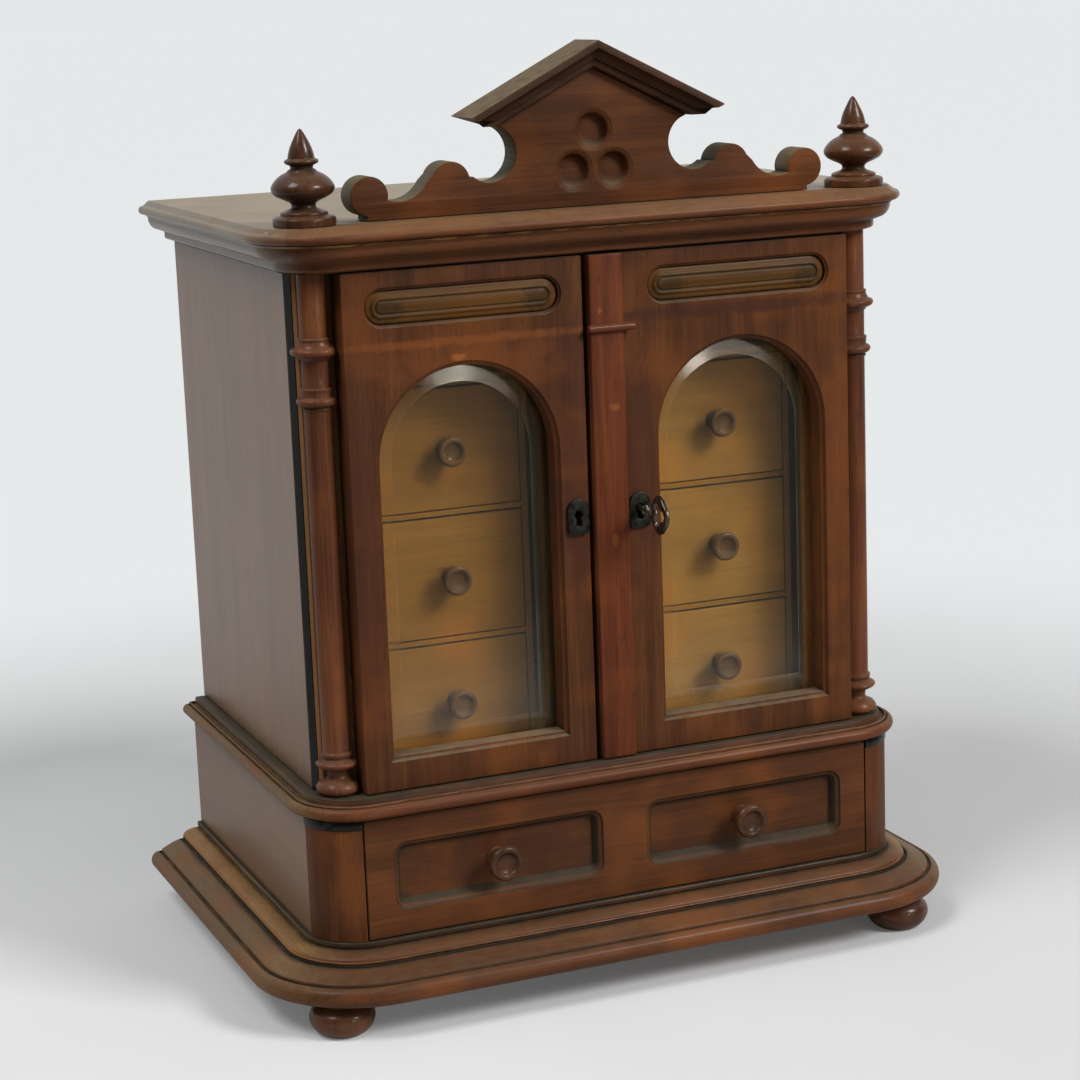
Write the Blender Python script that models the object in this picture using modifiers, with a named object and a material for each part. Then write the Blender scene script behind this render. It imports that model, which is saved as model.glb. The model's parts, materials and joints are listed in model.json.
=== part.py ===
"""Tabletop collectors cabinet: plinth with a long drawer, glazed upper case, pediment. Metres, +Z up."""

from math import asin, cos, degrees, pi, radians, sin, tan

import bmesh
import bpy
from mathutils import Matrix, Vector

# Clearances
SEAT = 0.0003  # between pieces that are glued or rest on each other
RUN = 0.0005  # between a drawer and what it slides in
PIN_PLAY = 0.0004  # around a turning pin

# Heights of the stacked layers
FOOT_HEIGHT = 0.0185
BASE_BOARD_HEIGHT = 0.0175
PLINTH_BOARD_HEIGHT = 0.0085
PLINTH_HEIGHT = 0.066
WAIST_HEIGHT = 0.0112
CASE_HEIGHT = 0.2723
CORNICE_HEIGHT = 0.0151
TOP_BOARD_HEIGHT = 0.0084

# Plan: the case drives, and the plinth stands out round it
CASE_WIDTH = 0.330
CASE_SIDE_DEPTH = 0.2115
PLINTH_SIDE_LEDGE = 0.0075
PLINTH_FRONT_LEDGE = 0.0313
BASE_REACH = 0.0315
WAIST_REACH = 0.0060
TOP_REACH = 0.0122
MOULDING_CORNER = 0.031
POST_RADIUS = 0.028
POST_SIZE = 0.0242
COLLAR_HEIGHT = 0.0042
COLLAR_PROUD = 0.0006
PLINTH_SIDE_THICKNESS = 0.011
BACK_THICKNESS = 0.006
FOOT_RADIUS = 0.0174
FOOT_IN_X = 0.038
FOOT_IN_Y = 0.0283
CORNER_STEPS = 8

# Plinth drawer
DRAWER_FRONT_THICKNESS = 0.018
SUNK_PANEL_END = 0.01555
SUNK_PANEL_MIDDLE = 0.01275
SUNK_PANEL_HEIGHT = 0.0375
SUNK_PANEL_DEPTH = 0.0055
SUNK_PANEL_EDGE = 0.0048
SUNK_PANEL_CORNER = 0.0075
DRAWER_WALL = 0.006
DRAWER_BOX_HEIGHT = 0.054
DRAWER_BACK_GAP = 0.012
PLINTH_KNOB_RADIUS = 0.0096
PLINTH_KNOB_LENGTH = 0.0155

# Upper case
CASE_SIDE_THICKNESS = 0.010
STILE_WIDTH = 0.040
STILE_THICKNESS = 0.0062
FILLET_IN = 0.0024
FILLET_DEPTH = 0.0040
CHAMFER_IN = 0.0042
MULLION_WIDTH = 0.064
MULLION_THICKNESS = 0.0096
COLUMN_IN = 0.0112
COLUMN_PROUD = 0.0044
SHAFT_RADIUS = 0.0052
COLUMN_RING = 0.0124
COLUMN_RING_BELOW_TOP = 0.0395
COLUMN_LOW_RING = 0.0107
COLUMN_LOW_RING_BELOW_TOP = 0.0649
COLUMN_FOOT_RING = 0.0113
COLUMN_BASE_RING = 0.0117
COLUMN_FOOT_RING_LEVEL = 0.0170

# Drawer rack and inner drawers
RACK_WALL = 0.0035
RACK_RAIL = 0.0028
TIER_PITCH = 0.0691
TIER_DROP = 0.0022
TIERS = 3
RACK_BACK_GAP = 0.004
INNER_DRAWER_BACK_GAP = 0.004
INNER_DRAWER_SET_BACK = 0.0108
INNER_DRAWER_TO_MULLION = 0.005
INNER_DRAWER_TO_STILE = 0.004
INNER_DRAWER_GAP = 0.0010
INNER_FRONT_THICKNESS = 0.008
INNER_WALL = 0.004
INNER_KNOB_RADIUS = 0.0081
INNER_KNOB_LENGTH = 0.0132

# Doors
DOOR_IN = 0.0216
MEETING_GAP = 0.0026
DOOR_THICKNESS = 0.0157
DOOR_TOP_GAP = 0.0006
PIVOT_IN = 0.007
PIVOT_BEHIND = 0.0055
PIN_RADIUS = 0.0015
PIN_LENGTH = 0.0045
DOOR_STILE_OUTER = 0.0168
DOOR_STILE_MEETING = 0.0204
ARCH_SILL = 0.0185
ARCH_BELOW_TOP = 0.05195
ARCH_STEPS = 18
REVEAL_STEP = 0.0022
REBATE = 0.004
GLASS_THICKNESS = 0.003
GLASS_EDGE = 0.0012
GLASS_BEVEL = 0.0097
STADIUM_END_OUTER = 0.0113
STADIUM_END_MEETING = 0.0144
STADIUM_HEIGHT = 0.0205
STADIUM_BELOW_TOP = 0.0193
STADIUM_DEPTH = 0.0042
STADIUM_LIP = 0.0012
STRIP_WIDTH = 0.0194
STRIP_PROUD = 0.003
ASTRAGAL_HEIGHT = 0.004
ASTRAGAL_BELOW_TOP = 0.0390
ASTRAGAL_PROUD = 0.0031
ASTRAGAL_LEFT = 0.0017
ASTRAGAL_RIGHT = 0.0055

# Lock, key and escutcheons
LOCK_BELOW_MIDDLE = 0.00035
LOCK_BESIDE_KEY = 0.0077
LOCK_HEIGHT = 0.026
LOCK_DEPTH = 0.008
LOCK_PLATE = 0.0012
BOLT_HEIGHT = 0.008
BOLT_THICKNESS = 0.0032
BOLT_LENGTH = 0.0165
BOLT_TRAVEL = 0.006
MORTISE_PLAY = 0.0009
SHANK_RADIUS = 0.0017
BIT_REACH = 0.0052
BOW_RADIUS = 0.0105
BOW_OUT = 0.0259
BOW_THICKNESS = 0.0024
ESCUTCHEON_WIDTH = 0.0122
ESCUTCHEON_HEIGHT = 0.0193
ESCUTCHEON_THICKNESS = 0.0016
ESCUTCHEON_TO_STRIP = 0.0005
ESCUTCHEON_TO_EDGE = 0.0008
KEYHOLE_RADIUS = 0.0023
KEYHOLE_DROP = 0.0062

# Pediment and finials
PEDIMENT_SET_BACK = 0.0131
PEDIMENT_THICKNESS = 0.016
PEDIMENT_END_HEIGHT = 0.0034
SCROLL_TO_FINIAL = 0.0328
SCROLL_END = 0.0041
SCROLL_RISE = 0.0126
SCROLL_RADIUS = 0.0100
HOLLOW_FROM_SCROLL = 0.0159
HOLLOW_RISE = 0.0268
HOLLOW_RADIUS = 0.0175
BUMP_FROM_SCROLL = 0.0439
BUMP_RISE = 0.0171
BUMP_RADIUS = 0.0103
BITE_FROM_BUMP = 0.0216
BITE_BELOW_RAKE = 0.0119
BITE_RADIUS = 0.0144
RAKE_FROM_BITE = 0.0039
GABLE_PROUD = 0.0112
GABLE_BEHIND = 0.0032
GABLE_RISE = 0.0846
GABLE_FOOT = 0.0490
GABLE_FOOT_DROP = 0.0020
GABLE_INNER_DROP = 0.0052
GABLE_PITCH = radians(26.73)
GABLE_THICKNESS = 0.012
ROUNDEL_RADIUS = 0.0108
ROUNDEL_DEPTH = 0.005
ROUNDEL_SPREAD = 0.01125
ROUNDEL_RISE = 0.0186
ROUNDEL_TOP_RISE = 0.0391
FINIAL_SET_IN = 0.0168
FINIAL_SET_BACK = 0.0188
FINIAL_HEIGHT = 0.0481
FINIAL_RADIUS = 0.016

# Levels that follow from the heights
BASE_Z = FOOT_HEIGHT
PLINTH_BOARD_Z = BASE_Z + BASE_BOARD_HEIGHT
PLINTH_Z = PLINTH_BOARD_Z + PLINTH_BOARD_HEIGHT
WAIST_Z = PLINTH_Z + PLINTH_HEIGHT
CASE_Z = WAIST_Z + WAIST_HEIGHT
CORNICE_Z = CASE_Z + CASE_HEIGHT
TOP_BOARD_Z = CORNICE_Z + CORNICE_HEIGHT
TOP_Z = TOP_BOARD_Z + TOP_BOARD_HEIGHT

# Planes that follow from the plan; depth is counted from the back plane towards the front
PLINTH_WIDTH = CASE_WIDTH + 2 * PLINTH_SIDE_LEDGE
PLINTH_DEPTH = CASE_SIDE_DEPTH + PLINTH_FRONT_LEDGE
BACK = (PLINTH_DEPTH + BASE_REACH) / 2
STILE_BACK = CASE_SIDE_DEPTH + SEAT
STILE_FACE = STILE_BACK + STILE_THICKNESS
MULLION_FACE = STILE_BACK + MULLION_THICKNESS
DOOR_BACK = MULLION_FACE + SEAT
DOOR_FACE = DOOR_BACK + DOOR_THICKNESS
STRIP_FACE = DOOR_FACE + STRIP_PROUD
LOCK_BACK = DOOR_BACK + SEAT
LOCK_FRONT = LOCK_BACK + LOCK_DEPTH
LOCK_BOLT_DEPTH = LOCK_BACK + LOCK_DEPTH / 2
BOW_CENTRE_DEPTH = DOOR_FACE + BOW_OUT
PIVOT_DEPTH = DOOR_FACE - PIVOT_BEHIND
COLUMN_DEPTH = STILE_FACE + COLUMN_PROUD
RACK_BACK = BACK_THICKNESS + RACK_BACK_GAP
DRAWER_FACE_DEPTH = STILE_BACK - INNER_DRAWER_SET_BACK
PEDIMENT_FACE = PLINTH_DEPTH - PEDIMENT_SET_BACK
GABLE_FACE = PEDIMENT_FACE + GABLE_PROUD
GABLE_BACK = PEDIMENT_FACE - PEDIMENT_THICKNESS - GABLE_BEHIND
FINIAL_DEPTH = PLINTH_DEPTH - FINIAL_SET_BACK

# Places across the front that follow from the widths
DRAWER_HALF_WIDTH = PLINTH_WIDTH / 2 - POST_SIZE - RUN
SUNK_PANEL_LENGTH = DRAWER_HALF_WIDTH - SUNK_PANEL_END - SUNK_PANEL_MIDDLE
SUNK_PANEL_CENTRE = SUNK_PANEL_MIDDLE + SUNK_PANEL_LENGTH / 2
COLUMN_X = CASE_WIDTH / 2 - COLUMN_IN
DOOR_OUTER = CASE_WIDTH / 2 - DOOR_IN
RIGHT_DOOR_EDGE = -STRIP_WIDTH / 2
LEFT_DOOR_EDGE = RIGHT_DOOR_EDGE - MEETING_GAP
PIVOT_X = DOOR_OUTER - PIVOT_IN
COLUMN_INNER = PIVOT_X + (PIVOT_IN**2 + PIVOT_BEHIND**2) ** 0.5 + RUN
ARCH_INNER = STRIP_WIDTH / 2 + DOOR_STILE_MEETING
ARCH_OUTER = DOOR_OUTER - DOOR_STILE_OUTER
ARCH_CENTRE = (ARCH_INNER + ARCH_OUTER) / 2
ARCH_HALF_WIDTH = (ARCH_OUTER - ARCH_INNER) / 2
STADIUM_INNER = STRIP_WIDTH / 2 + STADIUM_END_MEETING
STADIUM_OUTER = DOOR_OUTER - STADIUM_END_OUTER
STADIUM_CENTRE = (STADIUM_INNER + STADIUM_OUTER) / 2
STADIUM_LENGTH = STADIUM_OUTER - STADIUM_INNER
INNER_DRAWER_LEFT = MULLION_WIDTH / 2 + INNER_DRAWER_TO_MULLION
INNER_DRAWER_RIGHT = CASE_WIDTH / 2 - STILE_WIDTH - INNER_DRAWER_TO_STILE
INNER_DRAWER_CENTRE = (INNER_DRAWER_LEFT + INNER_DRAWER_RIGHT) / 2
INNER_DRAWER_WIDTH = INNER_DRAWER_RIGHT - INNER_DRAWER_LEFT
KEY_OFFSET = STRIP_WIDTH / 2 + ESCUTCHEON_TO_STRIP + ESCUTCHEON_WIDTH / 2
LEFT_ESCUTCHEON_X = LEFT_DOOR_EDGE - ESCUTCHEON_TO_EDGE - ESCUTCHEON_WIDTH / 2
FINIAL_X = PLINTH_WIDTH / 2 - FINIAL_SET_IN

# Levels that follow on the doors
ARCH_SPRING = CASE_HEIGHT - ARCH_BELOW_TOP - ARCH_HALF_WIDTH
LOCK_Z = CASE_Z + CASE_HEIGHT / 2 - LOCK_BELOW_MIDDLE
DOOR_Z0 = CASE_Z + DOOR_TOP_GAP
DOOR_Z1 = CORNICE_Z - DOOR_TOP_GAP

PARTS = None
CUTTERS = None


def clear_scene():
    for item in list(bpy.data.objects):
        bpy.data.objects.remove(item, do_unlink=True)


def make_collection(name):
    made = bpy.data.collections.new(name)
    bpy.context.scene.collection.children.link(made)
    return made


def make_material(name, colour, roughness, metallic=0.0, transmission=0.0):
    made = bpy.data.materials.new(name)
    made.use_nodes = True
    shader = made.node_tree.nodes["Principled BSDF"]
    shader.inputs["Base Color"].default_value = (*colour, 1.0)
    shader.inputs["Roughness"].default_value = roughness
    shader.inputs["Metallic"].default_value = metallic
    shader.inputs["Transmission Weight"].default_value = transmission
    made.diffuse_color = (*colour, 1.0)
    return made


def at(x, depth, z):
    """A point from its distance in front of the back plane."""
    return Vector((x, BACK - depth, z))


def settle(made, material):
    """Puts a new object among the parts, or among the cutters when it has no material."""
    if material is None:
        CUTTERS.objects.link(made)
        made.hide_render = True
        made.display_type = "WIRE"
        return made
    PARTS.objects.link(made)
    made.data.materials.append(material)
    return made


def from_bmesh(name, shape, material, smooth=True):
    bmesh.ops.recalc_face_normals(shape, faces=shape.faces)
    mesh = bpy.data.meshes.new(name)
    shape.to_mesh(mesh)
    shape.free()
    if smooth:
        mesh.shade_smooth()
        mesh.set_sharp_from_angle(angle=radians(32))
    return settle(bpy.data.objects.new(name, mesh), material)


def block(name, xs, depths, zs, material, edge=0.0):
    """A box between two values on each axis, with eased edges where asked."""
    shape = bmesh.new()
    bmesh.ops.create_cube(shape, size=1.0)
    size = (xs[1] - xs[0], depths[1] - depths[0], zs[1] - zs[0])
    bmesh.ops.scale(shape, vec=size, verts=shape.verts)
    centre = at((xs[0] + xs[1]) / 2, (depths[0] + depths[1]) / 2, (zs[0] + zs[1]) / 2)
    bmesh.ops.translate(shape, vec=centre, verts=shape.verts)
    made = from_bmesh(name, shape, material)
    if edge:
        ease(made, edge)
    return made


def ease(made, width):
    bevel = made.modifiers.new("eased_edges", "BEVEL")
    bevel.width = width
    bevel.segments = 1
    bevel.limit_method = "ANGLE"
    bevel.angle_limit = radians(50)


def loft(name, rings, material):
    """A closed body through rings of points of equal number, capped at both ends."""
    shape = bmesh.new()
    rows = []
    for ring in rings:
        rows.append([shape.verts.new(point) for point in ring])
    count = len(rows[0])
    for low, high in zip(rows, rows[1:]):
        for i in range(count):
            j = (i + 1) % count
            shape.faces.new((low[i], low[j], high[j], high[i]))
    shape.faces.new(rows[0])
    shape.faces.new(rows[-1])
    return from_bmesh(name, shape, material)


def turned(name, profile, origin, material, steps=16, facing="up"):
    """A body of revolution from (radius, height) points listed from its top to its foot."""
    mesh = bpy.data.meshes.new(name)
    points = [(radius, 0.0, height) for radius, height in profile]
    mesh.from_pydata(points, [(i, i + 1) for i in range(len(points) - 1)], [])
    made = settle(bpy.data.objects.new(name, mesh), material)
    screw = made.modifiers.new("turning", "SCREW")
    screw.steps = steps
    screw.render_steps = steps
    screw.use_merge_vertices = True
    screw.merge_threshold = 0.00001
    made.location = origin
    if facing == "front":
        made.rotation_euler = (radians(90), 0.0, 0.0)
    return made


def curve_plate(name, loops, thickness, placement, material):
    """A flat plate from closed outlines, the inner ones as holes, centred on its own plane."""
    data = bpy.data.curves.new(name + "_outline", "CURVE")
    data.dimensions = "2D"
    data.fill_mode = "BOTH"
    data.extrude = thickness / 2
    for loop in loops:
        spline = data.splines.new("POLY")
        spline.points.add(len(loop) - 1)
        for point, (u, v) in zip(spline.points, loop):
            point.co = (u, v, 0.0, 1.0)
        spline.use_cyclic_u = True
    drawn = bpy.data.objects.new(name + "_outline", data)
    CUTTERS.objects.link(drawn)
    drawn.matrix_world = placement
    bpy.context.view_layer.update()
    graph = bpy.context.evaluated_depsgraph_get()
    mesh = bpy.data.meshes.new_from_object(drawn.evaluated_get(graph))
    shape = bmesh.new()
    shape.from_mesh(mesh)
    bpy.data.meshes.remove(mesh)
    bmesh.ops.remove_doubles(shape, verts=shape.verts, dist=0.000001)
    made = from_bmesh(name, shape, material)
    made.data.name = name
    made.matrix_world = drawn.matrix_world.copy()
    bpy.data.objects.remove(drawn, do_unlink=True)
    return made


def front_plate(name, loops, depths, material):
    """A plate parallel to the front, from outlines in X and Z."""
    middle = at(0.0, (depths[0] + depths[1]) / 2, 0.0)
    placement = Matrix.Translation(middle) @ Matrix.Rotation(radians(90), 4, "X")
    return curve_plate(name, loops, depths[1] - depths[0], placement, material)


def floor_plate(name, loop, zs, material):
    """An upright piece from its plan outline in X and depth."""
    placement = Matrix.Translation((0.0, 0.0, (zs[0] + zs[1]) / 2))
    plan = [(x, BACK - depth) for x, depth in loop]
    return curve_plate(name, [plan], zs[1] - zs[0], placement, material)


def rod(name, start, end, radius, material, steps=16):
    """A cylinder between two points."""
    shape = bmesh.new()
    along = end - start
    turn = Vector((0.0, 0.0, 1.0)).rotation_difference(along).to_matrix().to_4x4()
    bmesh.ops.create_cone(
        shape,
        cap_ends=True,
        segments=steps,
        radius1=radius,
        radius2=radius,
        depth=along.length,
        matrix=Matrix.Translation((start + end) / 2) @ turn,
    )
    return from_bmesh(name, shape, material)


def cut(made, cutter):
    step = made.modifiers.new("cut_" + cutter.name, "BOOLEAN")
    step.operation = "DIFFERENCE"
    step.solver = "EXACT"
    step.object = cutter


def join(made, other):
    step = made.modifiers.new("join_" + other.name, "BOOLEAN")
    step.operation = "UNION"
    step.solver = "EXACT"
    step.object = other


def carry(name, origin, pieces):
    """An axis marker that moves a group of pieces."""
    axis = bpy.data.objects.new(name, None)
    axis.empty_display_size = 0.01
    PARTS.objects.link(axis)
    axis.location = origin
    bpy.context.view_layer.update()
    for piece in pieces:
        piece.parent = axis
        piece.matrix_parent_inverse = axis.matrix_world.inverted()
    return axis


def arc(centre, radius, start, end, steps):
    """Points along a circular arc, angles in degrees."""
    turns = [radians(start + (end - start) * i / steps) for i in range(steps + 1)]
    return [(centre[0] + radius * cos(a), centre[1] + radius * sin(a)) for a in turns]


def mirrored(loop):
    return [(-x, y) for x, y in reversed(loop)]


def case_outline(reach):
    """Plan of a moulded board that stands out from the plinth face by reach; square at the back."""
    half = PLINTH_WIDTH / 2
    centre = (half - MOULDING_CORNER, PLINTH_DEPTH - MOULDING_CORNER)
    right = arc(centre, MOULDING_CORNER + reach, 0, 90, CORNER_STEPS)
    loop = [(half + reach, 0.0), *right]
    return loop + mirrored(loop)


def moulded_board(name, profile, base, material):
    """A board whose edge follows (reach, height) points from its underside up."""
    rings = []
    for reach, height in profile:
        rings.append([at(x, depth, base + height) for x, depth in case_outline(reach)])
    return loft(name, rings, material)


def cove(start, end, steps):
    """A hollow quarter between two profile points, level at the start and upright at the end."""
    points = []
    for i in range(steps + 1):
        a = pi / 2 * i / steps
        points.append((start[0] + (end[0] - start[0]) * sin(a), end[1] + (start[1] - end[1]) * cos(a)))
    return points


def nose(inner, outer, low, high, steps):
    """A half-round edge between two heights, standing out from inner to outer."""
    middle = (low + high) / 2
    points = []
    for i in range(steps + 1):
        a = -pi / 2 + pi * i / steps
        points.append((inner + (outer - inner) * cos(a), middle + (high - low) / 2 * sin(a)))
    return points


def rounded_rectangle(centre, width, height, radius, inset, steps=4):
    half_x = width / 2 - radius
    half_z = height / 2 - radius
    loop = []
    for turn, (sx, sz) in enumerate(((1, 1), (-1, 1), (-1, -1), (1, -1))):
        corner = (centre[0] + sx * half_x, centre[1] + sz * half_z)
        loop += arc(corner, radius - inset, 90 * turn, 90 * turn + 90, steps)
    return loop


def stadium(centre, length, height, inset, steps=7):
    radius = height / 2
    half = length / 2 - radius
    right = arc((centre[0] + half, centre[1]), radius - inset, -90, 90, steps)
    left = arc((centre[0] - half, centre[1]), radius - inset, 90, 270, steps)
    return right + left


def arch(side, grow):
    """Outline of the door's arched opening, made larger all round by grow."""
    centre = side * ARCH_CENTRE
    half = ARCH_HALF_WIDTH + grow
    head = arc((centre, CASE_Z + ARCH_SPRING), half, 0, 180, ARCH_STEPS)
    sill = CASE_Z + ARCH_SILL - grow
    return [(centre - half, sill), (centre + half, sill), *head]


def upright(loop, depth):
    return [at(x, depth, z) for x, z in loop]


def build_base(wood):
    """Feet, base board and plinth board."""
    r = BASE_REACH
    top = BASE_BOARD_HEIGHT
    profile = [(r - 0.0075, 0.0), (r - 0.0053, 0.0004)]
    profile += nose(r - 0.0047, r, 0.0006, top - 0.0063, 6)
    profile += [(r - 0.0059, top - 0.0058), (r - 0.0079, top - 0.0048)]
    profile += [(r - 0.0115, top - 0.0031), (r - 0.0155, top - 0.0015), (r - 0.0187, top - 0.0007)]
    profile += [(r - 0.0193, top)]
    moulded_board("base_board", profile, BASE_Z, wood)

    top = PLINTH_BOARD_HEIGHT
    profile = [(0.0112, SEAT), (0.0114, 0.0012)]
    profile += cove((0.0022, 0.0050), (0.0108, 0.0013), 5)[::-1]
    profile += [(0.0016, 0.0052), (0.0018, top - 0.0006), (0.0012, top)]
    moulded_board("plinth_board", profile, PLINTH_BOARD_Z, wood)

    height = FOOT_HEIGHT - SEAT
    shape = [(0.0, 1.0), (0.64, 1.0), (0.66, 0.90), (0.78, 0.84), (0.94, 0.70)]
    shape += [(1.0, 0.50), (0.95, 0.29), (0.80, 0.10), (0.64, 0.0), (0.0, 0.0)]
    profile = [(r * FOOT_RADIUS, h * height) for r, h in shape]
    reach_x = PLINTH_WIDTH / 2 + BASE_REACH - FOOT_IN_X
    front = PLINTH_DEPTH + BASE_REACH - FOOT_IN_Y
    for row, depth in (("front", front), ("back", FOOT_IN_Y)):
        for hand, side in (("left", -1), ("right", 1)):
            turned(f"foot_{row}_{hand}", profile, at(side * reach_x, depth, 0.0), wood, 16)


def build_plinth(wood, ebony):
    """Plinth sides, back, corner posts, collars and waist board."""
    low = PLINTH_Z + SEAT
    high = WAIST_Z - SEAT
    half = PLINTH_WIDTH / 2
    post_back = PLINTH_DEPTH - POST_SIZE
    side_face = half - COLLAR_PROUD
    for hand, side in (("left", -1), ("right", 1)):
        xs = sorted((side * side_face, side * (side_face - PLINTH_SIDE_THICKNESS)))
        block(f"plinth_side_{hand}", xs, (0.0, post_back - SEAT), (low, high), wood)
        for name, grow, zs, material in (
            ("corner_post", 0.0, (low, high - COLLAR_HEIGHT - SEAT), wood),
            ("post_collar", COLLAR_PROUD, (high - COLLAR_HEIGHT, high), ebony),
        ):
            centre = (half - POST_RADIUS, PLINTH_DEPTH - POST_RADIUS)
            start = degrees(asin((POST_RADIUS - POST_SIZE) / (POST_RADIUS + grow)))
            plan = arc(centre, POST_RADIUS + grow, start, 90 - start, 8)
            plan += [(half - POST_SIZE, post_back)]
            floor_plate(f"{name}_{hand}", [(side * x, d) for x, d in plan], zs, material)
    inner = side_face - PLINTH_SIDE_THICKNESS - SEAT
    block("plinth_back", (-inner, inner), (0.0, BACK_THICKNESS), (low, high), wood)

    top = WAIST_HEIGHT
    profile = [(-0.0005, 0.0), (0.0024, 0.0006)]
    profile += nose(0.0030, WAIST_REACH, 0.0012, top - 0.0034, 6)
    profile += [(0.0016, top - 0.0028), (0.0002, top - 0.0030), (-0.0004, top - 0.0020)]
    profile += [(-0.0018, top - 0.0010), (-0.0034, top - 0.0006), (-0.0040, top)]
    return moulded_board("waist_board", profile, WAIST_Z, wood)


def knob_profile(radius, length):
    """A turned knob with a dished face; lengths are shares of the whole."""
    shape = [(0.0, 0.82), (0.30, 0.83), (0.52, 0.88), (0.66, 0.98), (0.78, 1.0), (0.93, 0.97)]
    shape += [(1.0, 0.84), (0.95, 0.72), (0.72, 0.55), (0.46, 0.40), (0.44, 0.24), (0.60, 0.0)]
    points = [(r * radius, SEAT + h * (length - SEAT)) for r, h in shape]
    return points + [(0.0, SEAT)]


def build_plinth_drawer(wood, inner_wood):
    """The long drawer: front with two sunk panels, box and two knobs."""
    half = DRAWER_HALF_WIDTH
    low = PLINTH_Z + RUN
    face = PLINTH_DEPTH
    back_of_front = face - DRAWER_FRONT_THICKNESS
    front = block(
        "plinth_drawer_front", (-half, half), (back_of_front, face), (low, WAIST_Z - RUN), wood, 0.0006
    )
    level = PLINTH_Z + PLINTH_HEIGHT / 2
    pieces = [front]
    for hand, side in (("left", -1), ("right", 1)):
        centre = (side * SUNK_PANEL_CENTRE, level)
        rings = []
        for inset, depth in (
            (0.0, -0.002),
            (0.0, 0.0),
            (0.0008, 0.0010),
            (0.0012, 0.0012),
            (0.0026, 0.0020),
            (0.0036, 0.0034),
            (SUNK_PANEL_EDGE, SUNK_PANEL_DEPTH),
        ):
            loop = rounded_rectangle(
                centre, SUNK_PANEL_LENGTH, SUNK_PANEL_HEIGHT, SUNK_PANEL_CORNER, inset
            )
            rings.append(upright(loop, face - depth))
        cut(front, loft(f"sunk_panel_cut_{hand}", rings, None))
        profile = knob_profile(PLINTH_KNOB_RADIUS, PLINTH_KNOB_LENGTH)
        seat = at(centre[0], face - SUNK_PANEL_DEPTH, level)
        knob = turned(f"plinth_drawer_knob_{hand}", profile, seat, wood, 14, "front")
        pieces.append(knob)

    box_half = PLINTH_WIDTH / 2 - COLLAR_PROUD - PLINTH_SIDE_THICKNESS - RUN
    box_half = min(box_half, half)
    box_back = BACK_THICKNESS + DRAWER_BACK_GAP
    box_low = low
    box_high = low + DRAWER_BOX_HEIGHT
    box_front = back_of_front - SEAT
    box = block(
        "plinth_drawer_box", (-box_half, box_half), (box_back, box_front), (box_low, box_high), inner_wood
    )
    hollow = block(
        "plinth_drawer_hollow",
        (-box_half + DRAWER_WALL, box_half - DRAWER_WALL),
        (box_back + DRAWER_WALL, box_front - DRAWER_WALL),
        (box_low + DRAWER_WALL, box_high + 0.01),
        None,
    )
    cut(box, hollow)
    pieces.append(box)
    carry("plinth_drawer_axis", at(0.0, face, level), pieces)


def column_profile():
    """Turned column from its head down: shaft, two rings, shaft, base ring and foot."""
    top = CASE_HEIGHT - SEAT
    shaft = SHAFT_RADIUS
    points = [(0.0, top), (shaft, top)]
    for below, radius in (
        (COLUMN_RING_BELOW_TOP, COLUMN_RING),
        (COLUMN_LOW_RING_BELOW_TOP, COLUMN_LOW_RING),
    ):
        level = CASE_HEIGHT - below
        points += [(shaft, level + 0.0070), (shaft + 0.0012, level + 0.0064)]
        points += [(shaft + 0.0010, level + 0.0048), (0.78 * radius, level + 0.0022)]
        points += [(0.95 * radius, level + 0.0012), (radius, level)]
        points += [(0.94 * radius, level - 0.0017), (0.72 * radius, level - 0.0030)]
        points += [(shaft + 0.0008, level - 0.0040), (shaft, level - 0.0048)]
    level = COLUMN_FOOT_RING_LEVEL
    radius = COLUMN_FOOT_RING
    points += [(shaft, level + 0.0062), (shaft + 0.0012, level + 0.0050)]
    points += [(0.70 * radius, level + 0.0024), (radius, level), (0.93 * radius, level - 0.0018)]
    points += [(0.55 * radius, level - 0.0040), (0.50 * radius, level - 0.0068)]
    points += [(0.58 * radius, level - 0.0086), (0.90 * radius, level - 0.0104)]
    points += [(COLUMN_BASE_RING, level - 0.0128), (0.98 * COLUMN_BASE_RING, level - 0.0150)]
    points += [(0.80 * COLUMN_BASE_RING, SEAT), (0.0, SEAT)]
    return points


def tier_levels(tier):
    """Floor and roof of a cell in the drawer rack, counted from the lowest tier."""
    start = CASE_Z - TIER_DROP
    floor = start + tier * TIER_PITCH if tier else CASE_Z
    return floor + RACK_RAIL, start + (tier + 1) * TIER_PITCH


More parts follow.
